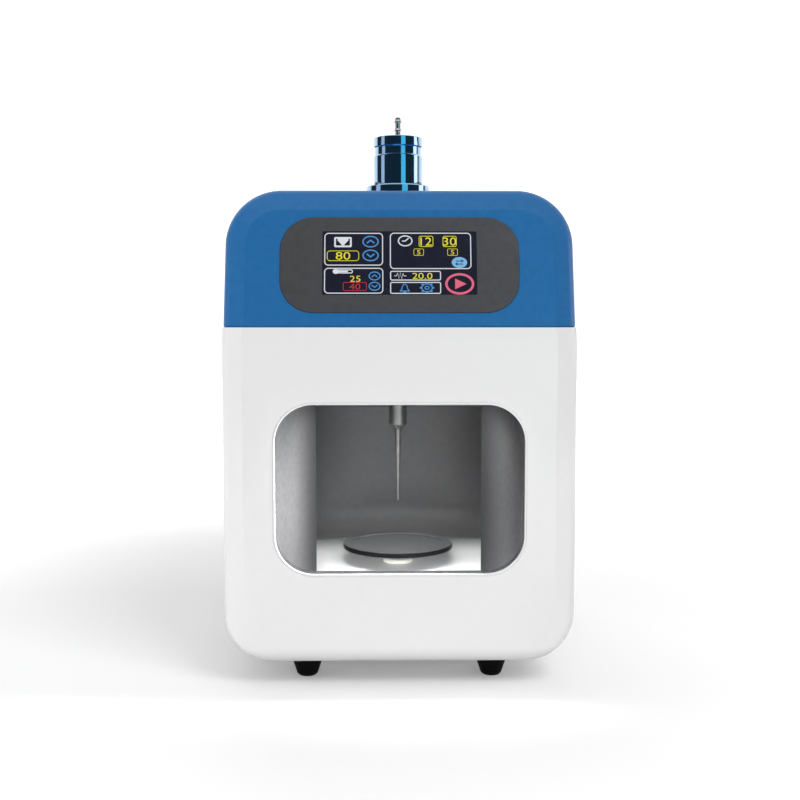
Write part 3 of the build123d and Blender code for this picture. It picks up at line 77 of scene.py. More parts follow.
# Finishes
TONE_LOW = 0.3  # span of the noise that mixes the two colours
TONE_HIGH = 0.7
BUMP_DEPTH = 0.0004
BROAD_SHARE = 0.13  # noise scale of the broad grain, as a share of the fine one
DUST_SCALE = 90.0
DUST_ROUGHNESS = 0.5  # roughness that full dust adds
SMEAR_SCALE = 220.0
EDGE_BLEND = 0.42
PIXEL_PITCH = 0.00022
PIXEL_LINE = 0.16  # share of a pixel that is the darker line
PIXEL_DIMMING = 0.82

# Display layout: places are read in pixels of the photograph and laid on the face in millimetres
MIDDLE_PX = 400.4
TOP_PX = 232.0
TOP_MM = 73.65  # up the face from the crease
MM_ACROSS = 0.62  # millimetres for a pixel across
MM_DOWN = 0.646  # and down the leaning face
FRAME_LINE = 0.62
FIELD_RADIUS = 2.6  # corners of the large fields
STRIP_RADIUS = 1.2  # and of the narrow ones
MARK_RISE = 0.06  # marks stand this far before the glass
TOP_MARK_RISE = 0.09  # and those that lie on another mark
MILLIMETRE = 0.001

# Studio
WORLD_LEVEL = 0.36
GLOW_NEAR = 0.2  # light that the camera sees on the floor by the object
GLOW_FAR = 0.92  # and further off
GLOW_START = 0.15
GLOW_END = 1.1
PAPER = 0.8
CARD_DISTANCE = 2.1
CARD_LOW = 0.05
CARD_HIGH = 1.9


def clear_defaults():
    """Removes what a new Blender file holds, and keeps the frame."""
    kept = set(nodes.values()) | set(frame["bodies"].values())
    for thing in list(bpy.data.objects):
        if thing not in kept:
            bpy.data.objects.remove(thing, do_unlink=True)


# Shader building

def linear(red, green, blue):
    """Linear colour of a screen colour given as 0 to 255: ((c + 0.055) / 1.055) to the power 2.4."""
    tone = np.array([red, green, blue], float) / 255.0
    low = tone / 12.92
    high = ((tone + 0.055) / 1.055) ** 2.4
    return (*np.where(tone <= 0.04045, low, high).tolist(), 1.0)


def new_group(name, inputs, outputs):
    """Empty shader node group with named value inputs and named outputs."""
    group = bpy.data.node_groups.new(name, "ShaderNodeTree")
    for label, kind, value in inputs:
        socket = group.interface.new_socket(label, in_out="INPUT", socket_type=kind)
        socket.default_value = value
    for label, kind in outputs:
        group.interface.new_socket(label, in_out="OUTPUT", socket_type=kind)
    start = group.nodes.new("NodeGroupInput")
    end = group.nodes.new("NodeGroupOutput")
    return group, start, end


def node(tree, kind, settings=None, **sockets):
    """New node of a tree: settings are its properties, sockets its values or links by socket name,
    or by socket number after an underscore."""
    made = tree.nodes.new(kind)
    for key, value in (settings or {}).items():
        setattr(made, key, value)
    for label, value in sockets.items():
        socket = made.inputs[int(label[1:])] if label[0] == "_" else made.inputs[label.replace("_", " ")]
        if isinstance(value, bpy.types.NodeSocket):
            tree.links.new(value, socket)
        else:
            socket.default_value = value
    return made


def maths(tree, operation, *values):
    """Result of one step of arithmetic on up to three values or sockets."""
    sockets = {"_" + str(index): value for index, value in enumerate(values)}
    return node(tree, "ShaderNodeMath", {"operation": operation}, **sockets).outputs[0]


def object_place(tree):
    """Place on the object, as a vector."""
    return node(tree, "ShaderNodeTexCoord").outputs["Object"]


def place_parts(tree):
    """Place on the object, as its X, Y and Z."""
    return node(tree, "ShaderNodeSeparateXYZ", Vector=object_place(tree)).outputs


def grain_group():
    """Fine grain: a fine noise as the height and a broad one as the tone."""
    group, start, end = new_group(
        "fine_grain",
        [("Size", "NodeSocketFloat", 0.001), ("Stretch", "NodeSocketVector", (1, 1, 1))],
        [("Height", "NodeSocketFloat"), ("Tone", "NodeSocketFloat")],
    )
    stretched = node(group, "ShaderNodeVectorMath", {"operation": "MULTIPLY"},
                     _0=object_place(group), _1=start.outputs["Stretch"]).outputs[0]
    scale = maths(group, "DIVIDE", 1.0, start.outputs["Size"])
    broad_scale = maths(group, "MULTIPLY", scale, BROAD_SHARE)
    fine = node(group, "ShaderNodeTexNoise", Vector=stretched, Scale=scale, Detail=2.0)
    broad = node(group, "ShaderNodeTexNoise", Vector=stretched, Scale=broad_scale, Detail=3.0)
    group.links.new(fine.outputs["Fac"], end.inputs["Height"])
    group.links.new(broad.outputs["Fac"], end.inputs["Tone"])
    return group


def dust_group():
    """Faint dust: more on faces that look up, broken by noise, as a mask."""
    group, start, end = new_group(
        "settled_dust", [("Amount", "NodeSocketFloat", 0.2)], [("Mask", "NodeSocketFloat")])
    facing = node(group, "ShaderNodeNewGeometry")
    parts = node(group, "ShaderNodeSeparateXYZ", Vector=facing.outputs["Normal"])
    upward = node(group, "ShaderNodeMapRange", Value=parts.outputs["Z"], From_Min=0.2, From_Max=1.0)
    patches = node(group, "ShaderNodeTexNoise", Vector=object_place(group), Scale=DUST_SCALE, Detail=5.0)
    spread = node(group, "ShaderNodeMapRange", Value=patches.outputs["Fac"], From_Min=0.35, From_Max=0.75)
    mask = maths(group, "MULTIPLY", upward.outputs[0], spread.outputs[0])
    group.links.new(maths(group, "MULTIPLY", mask, start.outputs["Amount"]), end.inputs["Mask"])
    return group


def turning_group():
    """Marks of a lathe tool: fine rings along Z broken by a little noise, as a height and a tone."""
    group, start, end = new_group(
        "turning_marks", [("Pitch", "NodeSocketFloat", 0.0004)],
        [("Height", "NodeSocketFloat"), ("Tone", "NodeSocketFloat")])
    rings = maths(group, "DIVIDE", place_parts(group)["Z"], start.outputs["Pitch"])
    flat = node(group, "ShaderNodeCombineXYZ", Z=rings)
    marks = node(group, "ShaderNodeTexNoise", Vector=flat.outputs[0], Scale=1.0, Detail=2.0)
    smear = node(group, "ShaderNodeTexNoise", Vector=object_place(group), Scale=SMEAR_SCALE, Detail=3.0)
    group.links.new(marks.outputs["Fac"], end.inputs["Height"])
    group.links.new(smear.outputs["Fac"], end.inputs["Tone"])
    return group


def pixel_group():
    """Display pixels: bright cells and thin darker lines between them, from the fractions of x and z
    over the pitch, as a mask."""
    group, start, end = new_group(
        "pixel_grid", [("Pitch", "NodeSocketFloat", 0.0002)], [("Mask", "NodeSocketFloat")])
    parts = place_parts(group)
    lines = []
    for label in ("X", "Z"):
        share = maths(group, "FRACT", maths(group, "DIVIDE", parts[label], start.outputs["Pitch"]))
        lines.append(maths(group, "GREATER_THAN", share, PIXEL_LINE))
    group.links.new(maths(group, "MINIMUM", *lines), end.inputs["Mask"])
    return group


def placed_group(tree, group, **values):
    """One of the shared groups placed in a material, with its own values."""
    holder = tree.nodes.new("ShaderNodeGroup")
    holder.node_tree = group
    for label, value in values.items():
        holder.inputs[label].default_value = value
    return holder


def mixed(tree, mask, first, second):
    """Colour between first and second by a mask. Each may be a colour or a socket."""
    return node(tree, "ShaderNodeMix", {"data_type": "RGBA"}, Factor=mask, _6=first, _7=second).outputs[2]


GRAIN = grain_group()
DUST = dust_group()
TURNING = turning_group()
PIXELS = pixel_group()


def finish(name, colour, other, roughness, metallic=0.0, grain=0.001, stretch=(1, 1, 1), bump=0.05,
           rough_spread=0.06, dust=0.0, turned=0.0, coat=0.0, coat_roughness=0.05, specular=0.5,
           fade=None, fade_colour=None, edge_colour=None):
    """Name and material of one finish: two close colours mixed by broad grain, roughness that varies
    with it, a bump from the fine grain or from turning marks, and a little dust on what faces up. A
    fade is an axis and two places on it: the fade colour shows at the first and is gone at the second.
    The edge colour shows where the surface turns away from the view."""
    material = bpy.data.materials.new(name)
    material.use_nodes = True
    tree = material.node_tree
    shader = tree.nodes["Principled BSDF"]
    if turned:
        source = placed_group(tree, TURNING, Pitch=turned)
    else:
        source = placed_group(tree, GRAIN, Size=grain, Stretch=stretch)
    tone = {"Value": source.outputs["Tone"], "From_Min": TONE_LOW, "From_Max": TONE_HIGH}
    base = mixed(tree, node(tree, "ShaderNodeMapRange", **tone).outputs[0], colour, other)
    rough = node(tree, "ShaderNodeMapRange", **tone, To_Min=max(roughness - rough_spread, 0.02),
                 To_Max=roughness + rough_spread).outputs[0]
    if fade:
        axis, shown, gone = fade
        along = node(tree, "ShaderNodeMapRange", {"interpolation_type": "SMOOTHSTEP"},
                     Value=place_parts(tree)[axis], From_Min=shown, From_Max=gone)
        base = mixed(tree, along.outputs[0], fade_colour, base)
    if edge_colour:
        facing = node(tree, "ShaderNodeLayerWeight", Blend=EDGE_BLEND)
        base = mixed(tree, facing.outputs["Facing"], base, edge_colour)
    if dust:
        veil = placed_group(tree, DUST, Amount=dust).outputs["Mask"]
        base = mixed(tree, veil, base, linear(196, 192, 184))
        rough = maths(tree, "MULTIPLY_ADD", veil, DUST_ROUGHNESS, rough)
    raised = node(tree, "ShaderNodeBump", Strength=bump, Distance=BUMP_DEPTH,
                  Height=source.outputs["Height"])
    tree.links.new(base, shader.inputs["Base Color"])
    tree.links.new(rough, shader.inputs["Roughness"])
    tree.links.new(raised.outputs[0], shader.inputs["Normal"])
    shader.inputs["Metallic"].default_value = metallic
    shader.inputs["Coat Weight"].default_value = coat
    shader.inputs["Coat Roughness"].default_value = coat_roughness
    shader.inputs["Specular IOR Level"].default_value = specular
    return name, material


# Finishes of the instrument, by the name of the record's material slot

def housing_finishes():
    """Moulded shells, window trim, bezel, glass and feet."""
    return [
        # white_shell: below z 0.026 the colour darkens to grey at the bottom edge, painted shade on the
        # downward-facing bottom band
        finish("white_shell", linear(239, 239, 239), linear(238, 238, 238), roughness=0.24, grain=0.0005,
               bump=0.004, rough_spread=0.02, coat=0.1, fade=("Z", 0.017, 0.026),
               fade_colour=linear(216, 216, 217)),
        finish("blue_shell", linear(36, 108, 168), linear(32, 103, 162), roughness=0.36, grain=0.0006,
               bump=0.012, rough_spread=0.02, specular=0.3),
        # trim_gloss: dark grey towards the inner end of the window sleeve, painted shade inside the
        # window's edge
        finish("trim_gloss", linear(240, 241, 242), linear(236, 237, 238), roughness=0.14, grain=0.002,
               bump=0.01, coat=0.4, fade=("Y", -0.1275, -0.1297), fade_colour=linear(92, 92, 94)),
        finish("bezel_grey", linear(70, 70, 73), linear(65, 65, 68), roughness=0.5, grain=0.0006, bump=0.06,
               specular=0.3),
        finish("screen", linear(30, 32, 46), linear(33, 35, 49), roughness=0.16, bump=0.0,
               rough_spread=0.02, specular=0.4),
        finish("foot_rubber", linear(6, 6, 6), linear(9, 9, 9), roughness=0.62, grain=0.0008, bump=0.2,
               specular=0.08),
    ]


def chamber_finishes():
    """Chamber floor, walls and cheeks, seal, stage and bush."""
    return [
        # floor_white: grey at the back, white towards the front, painted shade where the light falls off
        # into the chamber
        finish("floor_white", linear(236, 236, 237), linear(231, 232, 233), roughness=0.10, grain=0.002,
               bump=0.004, rough_spread=0.02, coat=0.6, coat_roughness=0.03, fade=("Y", 0.058, -0.002),
               fade_colour=linear(138, 138, 139)),
        # liner_dark: pale above z 0.1608 to 0.1616, a painted highlight along the top of the chamber
        finish("liner_dark", linear(132, 132, 133), linear(128, 128, 129), roughness=0.32, metallic=0.3,
               grain=0.0007, bump=0.05, rough_spread=0.03, fade=("Z", 0.1616, 0.1608),
               fade_colour=linear(214, 214, 215)),
        # cheek_satin: darker towards the rear edges of the cheeks, painted shade
        finish("cheek_satin", linear(106, 106, 107), linear(100, 100, 101), roughness=0.42, metallic=0.2,
               grain=0.0005, bump=0.16, fade=("Y", -0.066, -0.090), fade_colour=linear(44, 44, 45)),
        finish("seal_rubber", linear(16, 16, 18), linear(22, 22, 24), roughness=0.6, grain=0.001, bump=0.15,
               specular=0.2, fade=("Y", -0.018, -0.046), fade_colour=linear(96, 97, 99)),
        finish("stage_steel", linear(184, 185, 187), linear(178, 179, 181), roughness=0.24, metallic=0.85,
               grain=0.0005, stretch=(1, 0.3, 1), bump=0.02, rough_spread=0.03),
        finish("bush_polymer", linear(214, 213, 206), linear(204, 203, 196), roughness=0.45, grain=0.001,
               bump=0.06),
    ]


def transducer_finishes():
    """Canister, air fitting, horn and the stack inside."""
    return [
        finish("can_chrome", linear(98, 172, 222), linear(92, 166, 216), roughness=0.07, metallic=1.0,
               turned=0.0006, bump=0.006, rough_spread=0.02, edge_colour=linear(206, 214, 220)),
        finish("fitting_steel", linear(208, 210, 212), linear(188, 190, 194), roughness=0.18, metallic=1.0,
               turned=0.0005, bump=0.04),
        finish("titanium", linear(162, 161, 160), linear(152, 151, 150), roughness=0.36, metallic=0.85,
               turned=0.0004, bump=0.04),
        finish("stack_metal", linear(196, 197, 200), linear(182, 184, 188), roughness=0.26, metallic=1.0,
               turned=0.0005, bump=0.06),
        finish("piezo_ceramic", linear(216, 206, 184), linear(204, 194, 172), roughness=0.5, grain=0.001,
               bump=0.05),
        finish("electrode_brass", linear(206, 172, 98), linear(188, 152, 84), roughness=0.3, metallic=1.0,
               grain=0.001, bump=0.06),
        finish("bolt_steel", linear(92, 92, 96), linear(76, 76, 80), roughness=0.36, metallic=1.0,
               grain=0.0008, bump=0.08),
    ]


def electronics_finishes():
    """Boards, sheet metal, screws and what stands on the chassis."""
    return [
        finish("circuit_board", linear(24, 92, 60), linear(18, 78, 50), roughness=0.42, grain=0.0015,
               bump=0.10, dust=0.1),
        finish("screw_steel", linear(196, 198, 200), linear(176, 178, 182), roughness=0.28, metallic=1.0,
               grain=0.0006, bump=0.06),
        finish("sheet_steel", linear(188, 190, 192), linear(168, 170, 173), roughness=0.38, metallic=1.0,
               grain=0.002, stretch=(0.1, 1, 1), bump=0.05, dust=0.08),
        finish("sink_aluminium", linear(180, 184, 190), linear(162, 166, 172), roughness=0.36, metallic=1.0,
               grain=0.0015, stretch=(1, 1, 0.05), bump=0.08, dust=0.12),
        finish("coil_wound", linear(184, 98, 48), linear(156, 76, 34), roughness=0.3, metallic=0.6,
               turned=0.0008, bump=0.5),
        finish("capacitor_sleeve", linear(28, 40, 78), linear(22, 32, 66), roughness=0.32, grain=0.002,
               bump=0.04, coat=0.2),
        finish("supply_case", linear(182, 184, 186), linear(168, 170, 173), roughness=0.4, metallic=1.0,
               grain=0.0012, stretch=(1, 0.08, 1), bump=0.06, dust=0.1),
    ]


def rear_finishes():
    """Rear panel, its plastic fittings and the fan guard."""
    return [
        finish("panel_white", linear(236, 237, 238), linear(233, 234, 235), roughness=0.46, grain=0.0006,
               bump=0.05, dust=0.03),
        finish("black_plastic", linear(26, 26, 28), linear(34, 34, 36), roughness=0.44, grain=0.0007,
               bump=0.14, dust=0.08),
        finish("guard_steel", linear(206, 208, 210), linear(190, 192, 196), roughness=0.2, metallic=1.0,
               grain=0.001, bump=0.03),
    ]


def soft_shading():
    """Geometry modifier for the CAD nodes: joins their loose triangles, then shades smooth all but
    the edges that turn by more than a set angle. The mesh itself stays as it is."""
    group = bpy.data.node_groups.new("soft_shading", "GeometryNodeTree")
    group.is_modifier = True
    group.interface.new_socket("Geometry", in_out="INPUT", socket_type="NodeSocketGeometry")
    group.interface.new_socket("Keen", in_out="INPUT", socket_type="NodeSocketFloat")
    group.interface.new_socket("Geometry", in_out="OUTPUT", socket_type="NodeSocketGeometry")
    start = group.nodes.new("NodeGroupInput")
    end = group.nodes.new("NodeGroupOutput")
    joined = node(group, "GeometryNodeMergeByDistance", Geometry=start.outputs[0], Distance=JOIN_DISTANCE)
    turn = node(group, "GeometryNodeInputMeshEdgeAngle")
    keen = node(group, "FunctionNodeCompare", {"data_type": "FLOAT", "operation": "GREATER_THAN"},
                _0=turn.outputs["Unsigned Angle"], _1=start.outputs["Keen"])
    smooth = node(group, "GeometryNodeSetShadeSmooth", {"domain": "FACE"}, Geometry=joined.outputs[0],
                  Shade_Smooth=True)
    crisp = node(group, "GeometryNodeSetShadeSmooth", {"domain": "EDGE"}, Geometry=smooth.outputs[0],
                 Selection=keen.outputs[0], Shade_Smooth=False)
    group.links.new(crisp.outputs[0], end.inputs[0])
    return group


def dress_nodes():
    """Gives every CAD node the finish of its slot and the smooth shading."""
    finishes = dict(housing_finishes() + chamber_finishes() + transducer_finishes()
                    + electronics_finishes() + rear_finishes())
    slots = {entry["node"]: entry["material_slot"] for entry in frame["record"]["subparts"]}
    shading = soft_shading()
    for name, thing in nodes.items():
        for index in range(len(thing.material_slots)):
            thing.material_slots[index].material = finishes[slots[name]]
        soft = thing.modifiers.new("soft_shading", "NODES")
        soft.node_group = shading
        soft["Socket_1"] = BEVEL_KEEN if name in BEVELLED else PLAIN_KEEN


# Flat marks of the display, each as points and faces, in millimetres on the leaning face

def rounded_loop(centre, half, radius, per_corner=10):
    """Points round a rounded rectangle: at each corner the centre of the arc plus radius times
    (cos a, sin a), with a running through a quarter turn. Counterclockwise from the right."""
    turn = np.linspace(0, pi / 2, per_corner)
    arcs = []
    for quarter, (sx, sy) in enumerate(((1, 1), (-1, 1), (-1, -1), (1, -1))):
        angle = turn + quarter * pi / 2
        middle = (centre[0] + sx * (half[0] - radius), centre[1] + sy * (half[1] - radius))
        arcs.append(np.stack([middle[0] + radius * np.cos(angle), middle[1] + radius * np.sin(angle)], -1))
    return np.concatenate(arcs)


def oval(centre, half, count=40):
    """Loop of an oval: centre plus half times (cos a, sin a)."""
    turn = np.linspace(0, 2 * pi, count, endpoint=False)
    return np.array(centre) + np.array(half) * np.stack([np.cos(turn), np.sin(turn)], -1)


def gear_outline(centre, half, teeth=8):
    """Loop of a gear: the radius steps between its root and its tip at each tooth, as one plus a
    small share of tanh(4 cos(teeth a))."""
    turn = np.linspace(0, 2 * pi, teeth * 8, endpoint=False)
    reach = 1 + 0.13 * np.tanh(4 * np.cos(teeth * turn))
    return np.array(centre) + np.array(half) * np.stack([reach * np.cos(turn), reach * np.sin(turn)], -1)


def band(outer, inner):
    """Strip between two loops with the same number of points: the loops are its two grid rows."""
    count = len(outer)
    first = np.arange(count)
    after = np.roll(first, -1)
    points = np.concatenate([outer, inner])
    return points, np.stack([first, after, after + count, first + count], -1).tolist()


def filled(loop):
    """Filled loop: a fan of triangles from its middle to its points."""
    loop = np.array(loop, float)
    count = len(loop)
    first = np.arange(count)
    points = np.concatenate([loop, loop.mean(0, keepdims=True)])
    return points, np.stack([first, np.roll(first, -1), np.full(count, count)], -1).tolist()


def box_frame(centre, half, radius, line):
    """Outline of a rounded box of the given line width."""
    thin = (half[0] - line, half[1] - line)
    return band(rounded_loop(centre, half, radius), rounded_loop(centre, thin, max(radius - line, 0.0001)))


def ring(centre, half, line):
    """Oval ring of the given line width."""
    return band(oval(centre, half), oval(centre, (half[0] - line, half[1] - line)))


def stroke(path, line):
    """Open line of a given width through a path: each side is the path moved half the width along
    the mean of its neighbours' normals."""
    path = np.array(path, float)
    way = np.gradient(path, axis=0)
    way /= np.linalg.norm(way, axis=1, keepdims=True)
    side = np.stack([-way[:, 1], way[:, 0]], -1) * line / 2
    count = len(path)
    first = np.arange(count - 1)
    points = np.concatenate([path - side, path + side])
    return points, np.stack([first, first + 1, first + 1 + count, first + count], -1).tolist()


def chevron(centre, half, line, up):
    """Arrow head of two straight strokes that meet in the middle."""
    rise = half[1] if up else -half[1]
    path = [(centre[0] - half[0], centre[1] - rise / 2), (centre[0], centre[1] + rise / 2),
            (centre[0] + half[0], centre[1] - rise / 2)]
    return stroke(path, line)


def arrow_keys(places, half, line, arrow_half, arrow_line):
    """Round keys one above the other, the first with an arrow up and the second with one down."""
    marks = []
    for place, up in zip(places, (True, False)):
        marks += [ring(at(*place), half, line), chevron(at(*place), arrow_half, arrow_line, up)]
    return marks


def number(text, centre, tall, wide):
    """Plain number as flat faces: the outline font's glyphs, scaled to a height and a share of it
    across, and centred."""
    curve = bpy.data.curves.new("number", "FONT")
    curve.body = text
    curve.resolution_u = 3
    holder = bpy.data.objects.new("number", curve)
    scene.collection.objects.link(holder)
    bpy.context.view_layer.update()
    mesh = bpy.data.meshes.new_from_object(holder.evaluated_get(bpy.context.evaluated_depsgraph_get()))
    points = np.zeros(len(mesh.vertices) * 3)
    mesh.vertices.foreach_get("co", points)
    points = points.reshape(-1, 3)[:, :2]
    faces = [list(face.vertices) for face in mesh.polygons]
    bpy.data.objects.remove(holder, do_unlink=True)
    bpy.data.meshes.remove(mesh)
    low, high = points.min(0), points.max(0)
    scale = tall / (high[1] - low[1])
    return (points - (low + high) / 2) * (scale * wide, scale) + centre, faces


def at(across, down):
    """Place on the face of a pixel of the photograph."""
    return (across - MIDDLE_PX) * MM_ACROSS, TOP_MM - (down - TOP_PX) * MM_DOWN


def path_at(pixels):
    """Places on the face of a row of pixels."""
    return [at(*pixel) for pixel in pixels]


def span(left, top, right, bottom):
    """Middle and half size on the face of a box of pixels."""
    low, high = at(left, bottom), at(right, top)
    return (((low[0] + high[0]) / 2, (low[1] + high[1]) / 2),
            ((high[0] - low[0]) / 2, (high[1] - low[1]) / 2))


def boxed_number(text, box, middle, radius, line, tall, wide):
    """Number in a thin rounded box."""
    return [box_frame(*span(*box), radius, line), number(text, at(*middle), tall, wide)]


def power_field():
    """Upper left: amplitude symbol, the set power and its two keys."""
    outline = (325.0, 233.4, 383.8, 266.2)
    symbol = (334.8, 237.6, 352.4, 247.8)
    symbol_bar = (343.6, 240.2)
    symbol_wedge = [(338.2, 241.0), (343.6, 246.8), (349.0, 241.0)]
    value_box, value_middle = (327.6, 251.2, 359.8, 261.6), (343.7, 256.4)
    keys = [(371.3, 242.2), (371.3, 256.0)]
    return {
        "white": [
            box_frame(*span(*outline), radius=FIELD_RADIUS, line=FRAME_LINE),
            box_frame(*span(*symbol), radius=0.8, line=1.1),
            filled(rounded_loop(at(*symbol_bar), half=(3.4, 0.9), radius=0.8)),
            filled(path_at(symbol_wedge)),
        ],
        "yellow": boxed_number("80", value_box, value_middle, radius=2.0, line=0.4, tall=5.0, wide=1.35),
        "blue": arrow_keys(keys, half=(5.1, 3.8), line=0.8, arrow_half=(2.3, 1.9), arrow_line=0.95),
    }


def temperature_field():
    """Lower left: thermometer, the measured and the highest temperature, and two keys."""
    outline = (325.0, 268.4, 384.0, 294.0)
    bulb = (336.6, 272.0)
    tube = (336.0, 270.0, 353.6, 274.0)
    column = (343.6, 272.0)
    measured = (356.0, 279.3)
    limit_box, limit_middle = (343.8, 282.6, 367.6, 291.2), (355.7, 287.0)
    keys = [(375.3, 276.5), (375.3, 286.7)]
    return {
        "white": [
            box_frame(*span(*outline), radius=FIELD_RADIUS, line=FRAME_LINE),
            filled(oval(at(*bulb), half=(1.9, 1.6))),
            box_frame(*span(*tube), radius=1.1, line=0.6),
            filled(rounded_loop(at(*column), half=(3.2, 0.55), radius=0.4)),
        ],
        "yellow": [number("25", at(*measured), tall=3.9, wide=1.3)],
        "red": boxed_number("40", limit_box, limit_middle, radius=1.2, line=0.4, tall=3.8, wide=1.3),
        "blue": arrow_keys(keys, half=(3.7, 2.9), line=0.7, arrow_half=(1.7, 1.4), arrow_line=0.75),
    }


def time_field():
    """Upper right: clock, four boxed times and the key that changes them round."""
    outline = (390.6, 233.2, 472.2, 269.6)
    clock, clock_hub = (406.0, 241.4), (406.0, 241.6)
    hands = [(409.6, 238.6), (402.8, 241.6)]
    minutes_box, minutes_middle = (419.6, 236.4, 434.2, 247.4), (426.9, 242.0)
    seconds_box, seconds_middle = (443.6, 236.4, 457.6, 247.4), (450.6, 242.0)
    on_box, on_middle = (414.4, 249.2, 424.6, 256.2), (419.5, 252.8)
    off_box, off_middle = (448.2, 249.2, 458.6, 256.2), (453.4, 252.8)
    key = (460.2, 263.0)
    upper_arrow = [(456.6, 261.6), (462.6, 261.6)]
    lower_arrow = [(457.8, 264.6), (463.8, 264.6)]
    upper_head = [(462.2, 259.8), (464.6, 261.6), (462.2, 263.2)]
    lower_head = [(458.2, 262.8), (455.8, 264.6), (458.2, 266.4)]
    return {
        "white": [
            box_frame(*span(*outline), radius=FIELD_RADIUS, line=FRAME_LINE),
            ring(at(*clock), half=(4.6, 3.6), line=0.75),
            *(stroke(path_at([clock_hub, hand]), line=0.7) for hand in hands),
        ],
        "yellow": [
            *boxed_number("12", minutes_box, minutes_middle, radius=1.2, line=0.4, tall=5.3, wide=1.2),
            *boxed_number("30", seconds_box, seconds_middle, radius=1.2, line=0.4, tall=5.3, wide=1.2),
            *boxed_number("5", on_box, on_middle, radius=0.9, line=0.3, tall=2.9, wide=1.3),
            *boxed_number("5", off_box, off_middle, radius=0.9, line=0.3, tall=2.9, wide=1.3),
        ],
        "sky": [filled(oval(at(*key), half=(4.8, 3.5)))],
        "dark": [
            stroke(path_at(upper_arrow), line=0.6),
            stroke(path_at(lower_arrow), line=0.6),
            filled(path_at(upper_head)),
            filled(path_at(lower_head)),
        ],
    }


def frequency_field():
    """Middle right: pulse line and the measured frequency."""
    outline = (390.8, 271.4, 441.6, 281.0)
    pulse = [(395.0, 276.4), (397.0, 276.4), (398.2, 273.6), (399.6, 279.2), (401.0, 273.2),
             (402.4, 279.4), (403.8, 274.0), (404.8, 276.4), (407.0, 276.4)]
    measured = (423.0, 276.4)
    return {
        "white": [
            box_frame(*span(*outline), radius=STRIP_RADIUS, line=FRAME_LINE),
            stroke(path_at(pulse), line=0.45),
        ],
        "yellow": [number("20.0", at(*measured), tall=3.9, wide=1.35)],
    }


def key_field():
    """Lower right: bell key, gear key and the round start key."""
    outline = (390.8, 282.4, 441.6, 294.2)
    bell = [(400.6, 291.4), (402.4, 289.6), (403.2, 286.4), (404.6, 284.6), (406.2, 284.6),
            (407.6, 286.4), (408.4, 289.6), (410.2, 291.4)]
    clapper = (405.4, 292.6)
    gear = (427.6, 288.2)
    start_key = (460.2, 284.3)
    start_arrow = [(455.6, 279.0), (467.0, 284.3), (455.6, 289.6)]
    return {
        "white": [box_frame(*span(*outline), radius=STRIP_RADIUS, line=FRAME_LINE)],
        "blue": [
            band(gear_outline(at(*gear), half=(4.0, 3.1)), oval(at(*gear), half=(2.9, 2.2), count=64)),
            ring(at(*gear), half=(1.6, 1.25), line=0.6),
            stroke(path_at(bell), line=0.6),
            stroke(path_at([bell[0], bell[-1]]), line=0.6),
            filled(oval(at(*clapper), half=(0.9, 0.5))),
        ],
        "pink": [ring(at(*start_key), half=(9.0, 6.9), line=1.5), filled(path_at(start_arrow))],
    }


def lit_material(name, colour, strength):
    """Lit colour of the display: the colour times a fine pixel grid, given off as light."""
    material = bpy.data.materials.new("lit_" + name)
    material.use_nodes = True
    tree = material.node_tree
    shader = tree.nodes["Principled BSDF"]
    grid = placed_group(tree, PIXELS, Pitch=PIXEL_PITCH)
    dimmed = tuple(PIXEL_DIMMING * part for part in colour[:3]) + (1.0,)
    tree.links.new(mixed(tree, grid.outputs["Mask"], dimmed, colour), shader.inputs["Emission Color"])
    shader.inputs["Base Color"].default_value = (0.01, 0.01, 0.012, 1)
    shader.inputs["Emission Strength"].default_value = strength
    shader.inputs["Roughness"].default_value = 0.3
    return material


def on_face(u, v, rise):
    """Point on the leaning face: u to the right, v up the face from the crease, rise out of it.
    Its y is the front plus v sin(lean) minus rise cos(lean), its z the crease plus v cos(lean) plus
    rise sin(lean)."""
    return np.stack([
        u,
        FRONT_Y + v * sin(LEAN) - rise * cos(LEAN),
        CREASE_Z + v * cos(LEAN) + rise * sin(LEAN),
    ], -1)


def facing_front(mesh):
    """Turns the faces of a flat mesh so that each looks out of the front."""
    mesh.update()
    turned = [face.index for face in mesh.polygons if face.normal.y > 0]
    for index in turned:
        mesh.polygons[index].flip()
    mesh.update()


def make_display():
    """Lays the marks of each colour on the screen as one thin flat mesh."""
    lit = {
        "white": (linear(226, 230, 236), 0.95),
        "yellow": (linear(238, 226, 70), 0.95),
        "red": (linear(196, 52, 66), 0.9),
        "blue": (linear(78, 148, 214), 0.95),
        "sky": (linear(124, 186, 232), 0.95),
        "dark": (linear(34, 60, 104), 0.9),
        "pink": (linear(232, 104, 134), 0.95),
    }
    fields = (power_field(), temperature_field(), time_field(), frequency_field(), key_field())
    for name, (colour, strength) in lit.items():
        points, faces, start = [], [], 0
        for flat, cells in (mark for field in fields for mark in field.get(name, [])):
            points.append(flat)
            faces += [[start + corner for corner in cell] for cell in cells]
            start += len(flat)
        flat = np.concatenate(points)
        rise = TOP_MARK_RISE if name == "dark" else MARK_RISE
        laid = on_face(*flat.T * MILLIMETRE, SCREEN_PROUD + rise * MILLIMETRE)
        piece = mesh_object("screen_marks_" + name, laid, faces, lit_material(name, colour, strength))
        facing_front(piece.data)
        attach(piece, "housing")


# Meshes

def mesh_object(name, points, faces, material):
    """Object of a mesh with one material, at the origin."""
    mesh = bpy.data.meshes.new(name)
    mesh.from_pydata(points.tolist(), [], faces)
    mesh.materials.append(material)
    thing = bpy.data.objects.new(name, mesh)
    scene.collection.objects.link(thing)
    return thing


def grid_object(name, points, material):
    """Object of a grid of points with shape (rows, columns, 3): each cell of the grid is a face."""
    rows, columns = points.shape[:2]
    index = np.arange(rows * columns).reshape(rows, columns)
    faces = np.stack([index[:-1, :-1], index[:-1, 1:], index[1:, 1:], index[1:, :-1]], -1).reshape(-1, 4)
    return mesh_object(name, points.reshape(-1, 3), faces.tolist(), material)


# Studio

